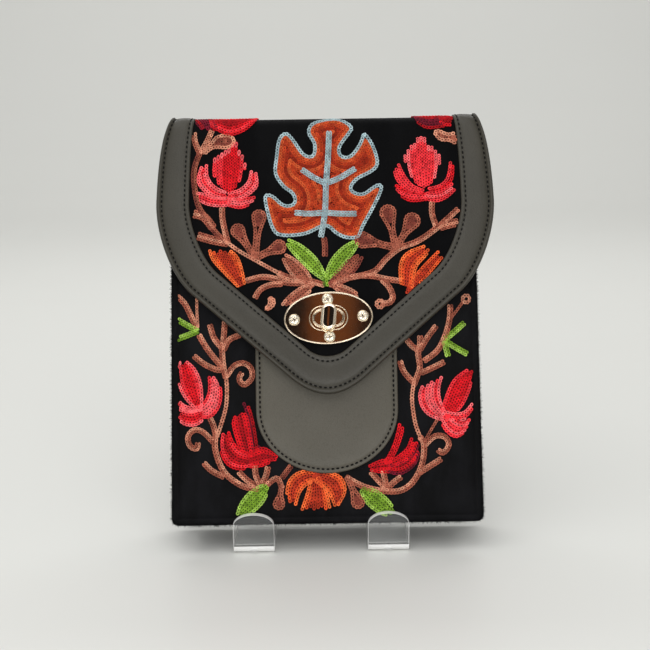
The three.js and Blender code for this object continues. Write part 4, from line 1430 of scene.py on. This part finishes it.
def makeScrew(side):
    x, y, turn = screw["places"][side]
    place = platePlace @ Matrix.Translation((x, y, 0)) @ Matrix.Rotation(turn, 4, "Z")
    bm = bmesh.new()
    bmesh.ops.create_grid(bm, x_segments=30, y_segments=30, size=1)
    for vert in bm.verts:
        u, v = vert.co.x, vert.co.y
        at = Vector((u * sqrt(1 - v * v / 2), v * sqrt(1 - u * u / 2)))
        dome = (1 - min(1, at.length) ** 3.2) ** 0.55
        at *= screw["radius"]
        near, far = sorted((abs(at.x), abs(at.y)))
        cross = 1 - fade(near, screw["armWide"] * 0.55, screw["armWide"])
        cross *= 1 - fade(far, screw["armLong"] * 0.8, screw["armLong"])
        z = screw["under"] + screw["rise"] * dome - screw["deep"] * cross
        vert.co = place @ Vector((at.x, at.y, z))
    made = bmesh.ops.extrude_edge_only(bm, edges=[e for e in bm.edges if e.is_boundary])
    low = [g for g in made["geom"] if isinstance(g, bmesh.types.BMVert)]
    bmesh.ops.translate(bm, verts=low, vec=place.to_3x3() @ Vector((0, 0, -screw["skirt"])))
    closeUp(bm)
    newPiece(f"screw_{side}", bm, screwMetal, [f"lock_screw_{side}"])


def makeFoot():  # its post fills the slot below the knob, its plate lies behind the flap
    rows = [(oblongPoint, long, high, z) for long, high, z in [
        (9, 2, 1.3), (14.4, 7.4, 1.3), (14.6, 7.6, 1.3), (14.9, 7.9, 1.15), (15, 8, 0.9), (15, 8, -2.7),
        (23.6, 13.6, -2.7), (24, 14, -2.9), (24, 14, -3.7), (23.6, 13.6, -3.9), (9, 2, -3.9),
    ]]
    ringPiece("turn_lock_foot", rows, 64, platePlace, "lock_foot")


makePlate(), makeKnob()
for side in screw["places"]:
    makeScrew(side)
makeFoot()
print("lock made")


# Stand
stand = {
    "bendTop": 0.0042, "plateTop": 0.0045, "weld": 5e-6, "flat": radians(1.5), "softFrom": radians(32),
    "baseSoft": 1.2, "backSoft": 0.6,
}


def baseEdge(normal, at):  # 0 clear face, 1 cut edge drawn whiter with painted light, 2 painted light where the arms' bend gathers it
    if at.z < stand["bendTop"] and normal.y < -0.15 and abs(normal.x) < 0.5:
        return 2
    if at.z > stand["plateTop"]:
        return int(abs(normal.y) < 0.6)
    return int(abs(normal.z) < 0.6)


def backEdge(normal, at):
    return int(abs(normal.x) > 0.3 or abs(normal.y) < 0.5)


def makeStandPart(node, name, finishes, width, edgeOf):
    bm = bmesh.new()
    bm.from_mesh(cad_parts[node].data)
    bmesh.ops.remove_doubles(bm, verts=bm.verts, dist=stand["weld"])
    bmesh.ops.dissolve_limit(bm, angle_limit=stand["flat"], verts=bm.verts, edges=bm.edges)
    for face in bm.faces:
        face.material_index = edgeOf(face.normal, face.calc_center_median())
    piece = newPiece(name, bm, finishes, [node])
    soft = piece.modifiers.new("soft edges", "BEVEL")
    soft.width, soft.segments, soft.limit_method, soft.angle_limit = width * mm, 3, "ANGLE", stand["softFrom"]
    # the rounded edges take the cut edge finish, with its painted light
    soft.harden_normals, soft.material = True, 1


makeStandPart("stand_base", "acrylic_base", [clearAcrylic, acrylicEdgePaintedLight, paintedBendLight], stand["baseSoft"], baseEdge)
makeStandPart("stand_back", "acrylic_back", [clearAcrylic, acrylicEdgePaintedLight], stand["backSoft"], backEdge)
print("stand made")


# Floor, backdrop and light
studio = {
    "floor": linear(210, 210, 206), "wide": 3.2, "near": -1.6, "far": 1.1, "turn": 0.5, "high": 1.6,
    "sky": (0.88, 0.885, 0.88, 1), "skyStrength": 0.60,
}


def makeFloor():
    look = Finish("pale satin sweep", {"Specular IOR Level": 0.3})
    patchy = look.noise(6, 2, 0.5)
    look.feed(Base_Color=look.mixed(patchy, studio["floor"], toned(studio["floor"], 0.985)),
              Roughness=0.40 + patchy * 0.08)
    r, half = studio["turn"], studio["wide"] / 2
    flat, arc = studio["far"] - studio["near"], r * pi / 2

    def point(x, along):
        if along > flat + arc:
            return (x, studio["far"] + r, r + along - flat - arc)
        turn = max(0, along - flat) / r
        return (x, studio["near"] + min(along, flat) + r * sin(turn), r * (1 - cos(turn)))
    bm = gridSheet(span(-half, half, 8), span(0, flat + arc + studio["high"], 48), point, frameOf=Matrix())
    floor = linked("sweep", meshOf("sweep", bm))
    floor.data.materials.append(look.material)
    floor.data.shade_smooth()


lamps = {  # where it hangs, where it aims, its size in metres, watts
    "overhead soft box": ((-0.25, -0.30, 1.15), (0, 0.05, 0.08), (1.1, 0.9), 5.1),
    "front fill": ((0.08, -0.95, 0.85), (0, 0, 0.1), (0.9, 0.6), 3.4),
    "low fill": ((0, -1.35, 0.24), (0, 0.05, 0.04), (1.8, 0.44), 10),
    "backdrop light": ((0, 0.75, 1.0), (0, 0.5, 0), (1.5, 0.3), 6.6),
}


def makeLight():
    world = bpy.data.worlds.new("studio")
    bpy.context.scene.world = world
    world.use_nodes = True
    sky = world.node_tree.nodes["Background"].inputs
    sky["Color"].default_value, sky["Strength"].default_value = studio["sky"], studio["skyStrength"]
    for name, (at, aim, size, watts) in lamps.items():
        data = bpy.data.lights.new(name, "AREA")
        data.shape, data.size, data.size_y, data.energy = "RECTANGLE", *size, watts
        turned = (Vector(aim) - Vector(at)).to_track_quat("-Z", "Y").to_matrix().to_4x4()
        linked(name, data).matrix_world = Matrix.Translation(at) @ turned


card = {
    "tilt": radians(29.4), "away": 1.0, "wide": 0.7, "high": 0.4, "dark": linear(20, 12, 8),
    "warm": linear(108, 60, 30), "starts": (0.022, 0.034), "ends": (0.066, 0.080), "uneven": 0.09,
}


def makeCard():  # what the bright metal mirrors: a glowing card, dark brown with a warm band, above the lens, seen by reflections only, a painted reflection
    look = Finish("brown card", {"Roughness": 0.8, "Emission Strength": 1.0, "Specular IOR Level": 0.0})
    across = look.node("ShaderNodeSeparateXYZ", None, {"Vector": look.at}, "X")
    uneven = look.noise(9, 2, 0.5) * card["uneven"]
    warm = (across + uneven).above(*card["starts"]) - (across + uneven).above(*card["ends"])
    look.feed(Base_Color=look.mixed(uneven, (0.0, 0.0, 0.0), (0.01, 0.006, 0.004)),
              Emission_Color=look.mixed(warm, card["dark"], card["warm"]))
    bm = bmesh.new()
    bmesh.ops.create_grid(bm, x_segments=2, y_segments=2, size=0.5)
    towards = Vector((0, -cos(card["tilt"]), sin(card["tilt"])))
    centre = lockPlace @ Vector((0, 0, 3)) + towards * card["away"]
    turned = Matrix.Translation(centre) @ (-towards).to_track_quat("Z", "Y").to_matrix().to_4x4()
    bmesh.ops.transform(bm, matrix=turned @ Matrix.Diagonal((card["wide"], card["high"], 1, 1)), verts=bm.verts)
    thing = linked("brown_card", meshOf("brown card", bm))
    thing.data.materials.append(look.material)
    thing.visible_camera = thing.visible_diffuse = thing.visible_shadow = thing.visible_transmission = False


makeFloor()
makeLight()
makeCard()
print("floor and light made")
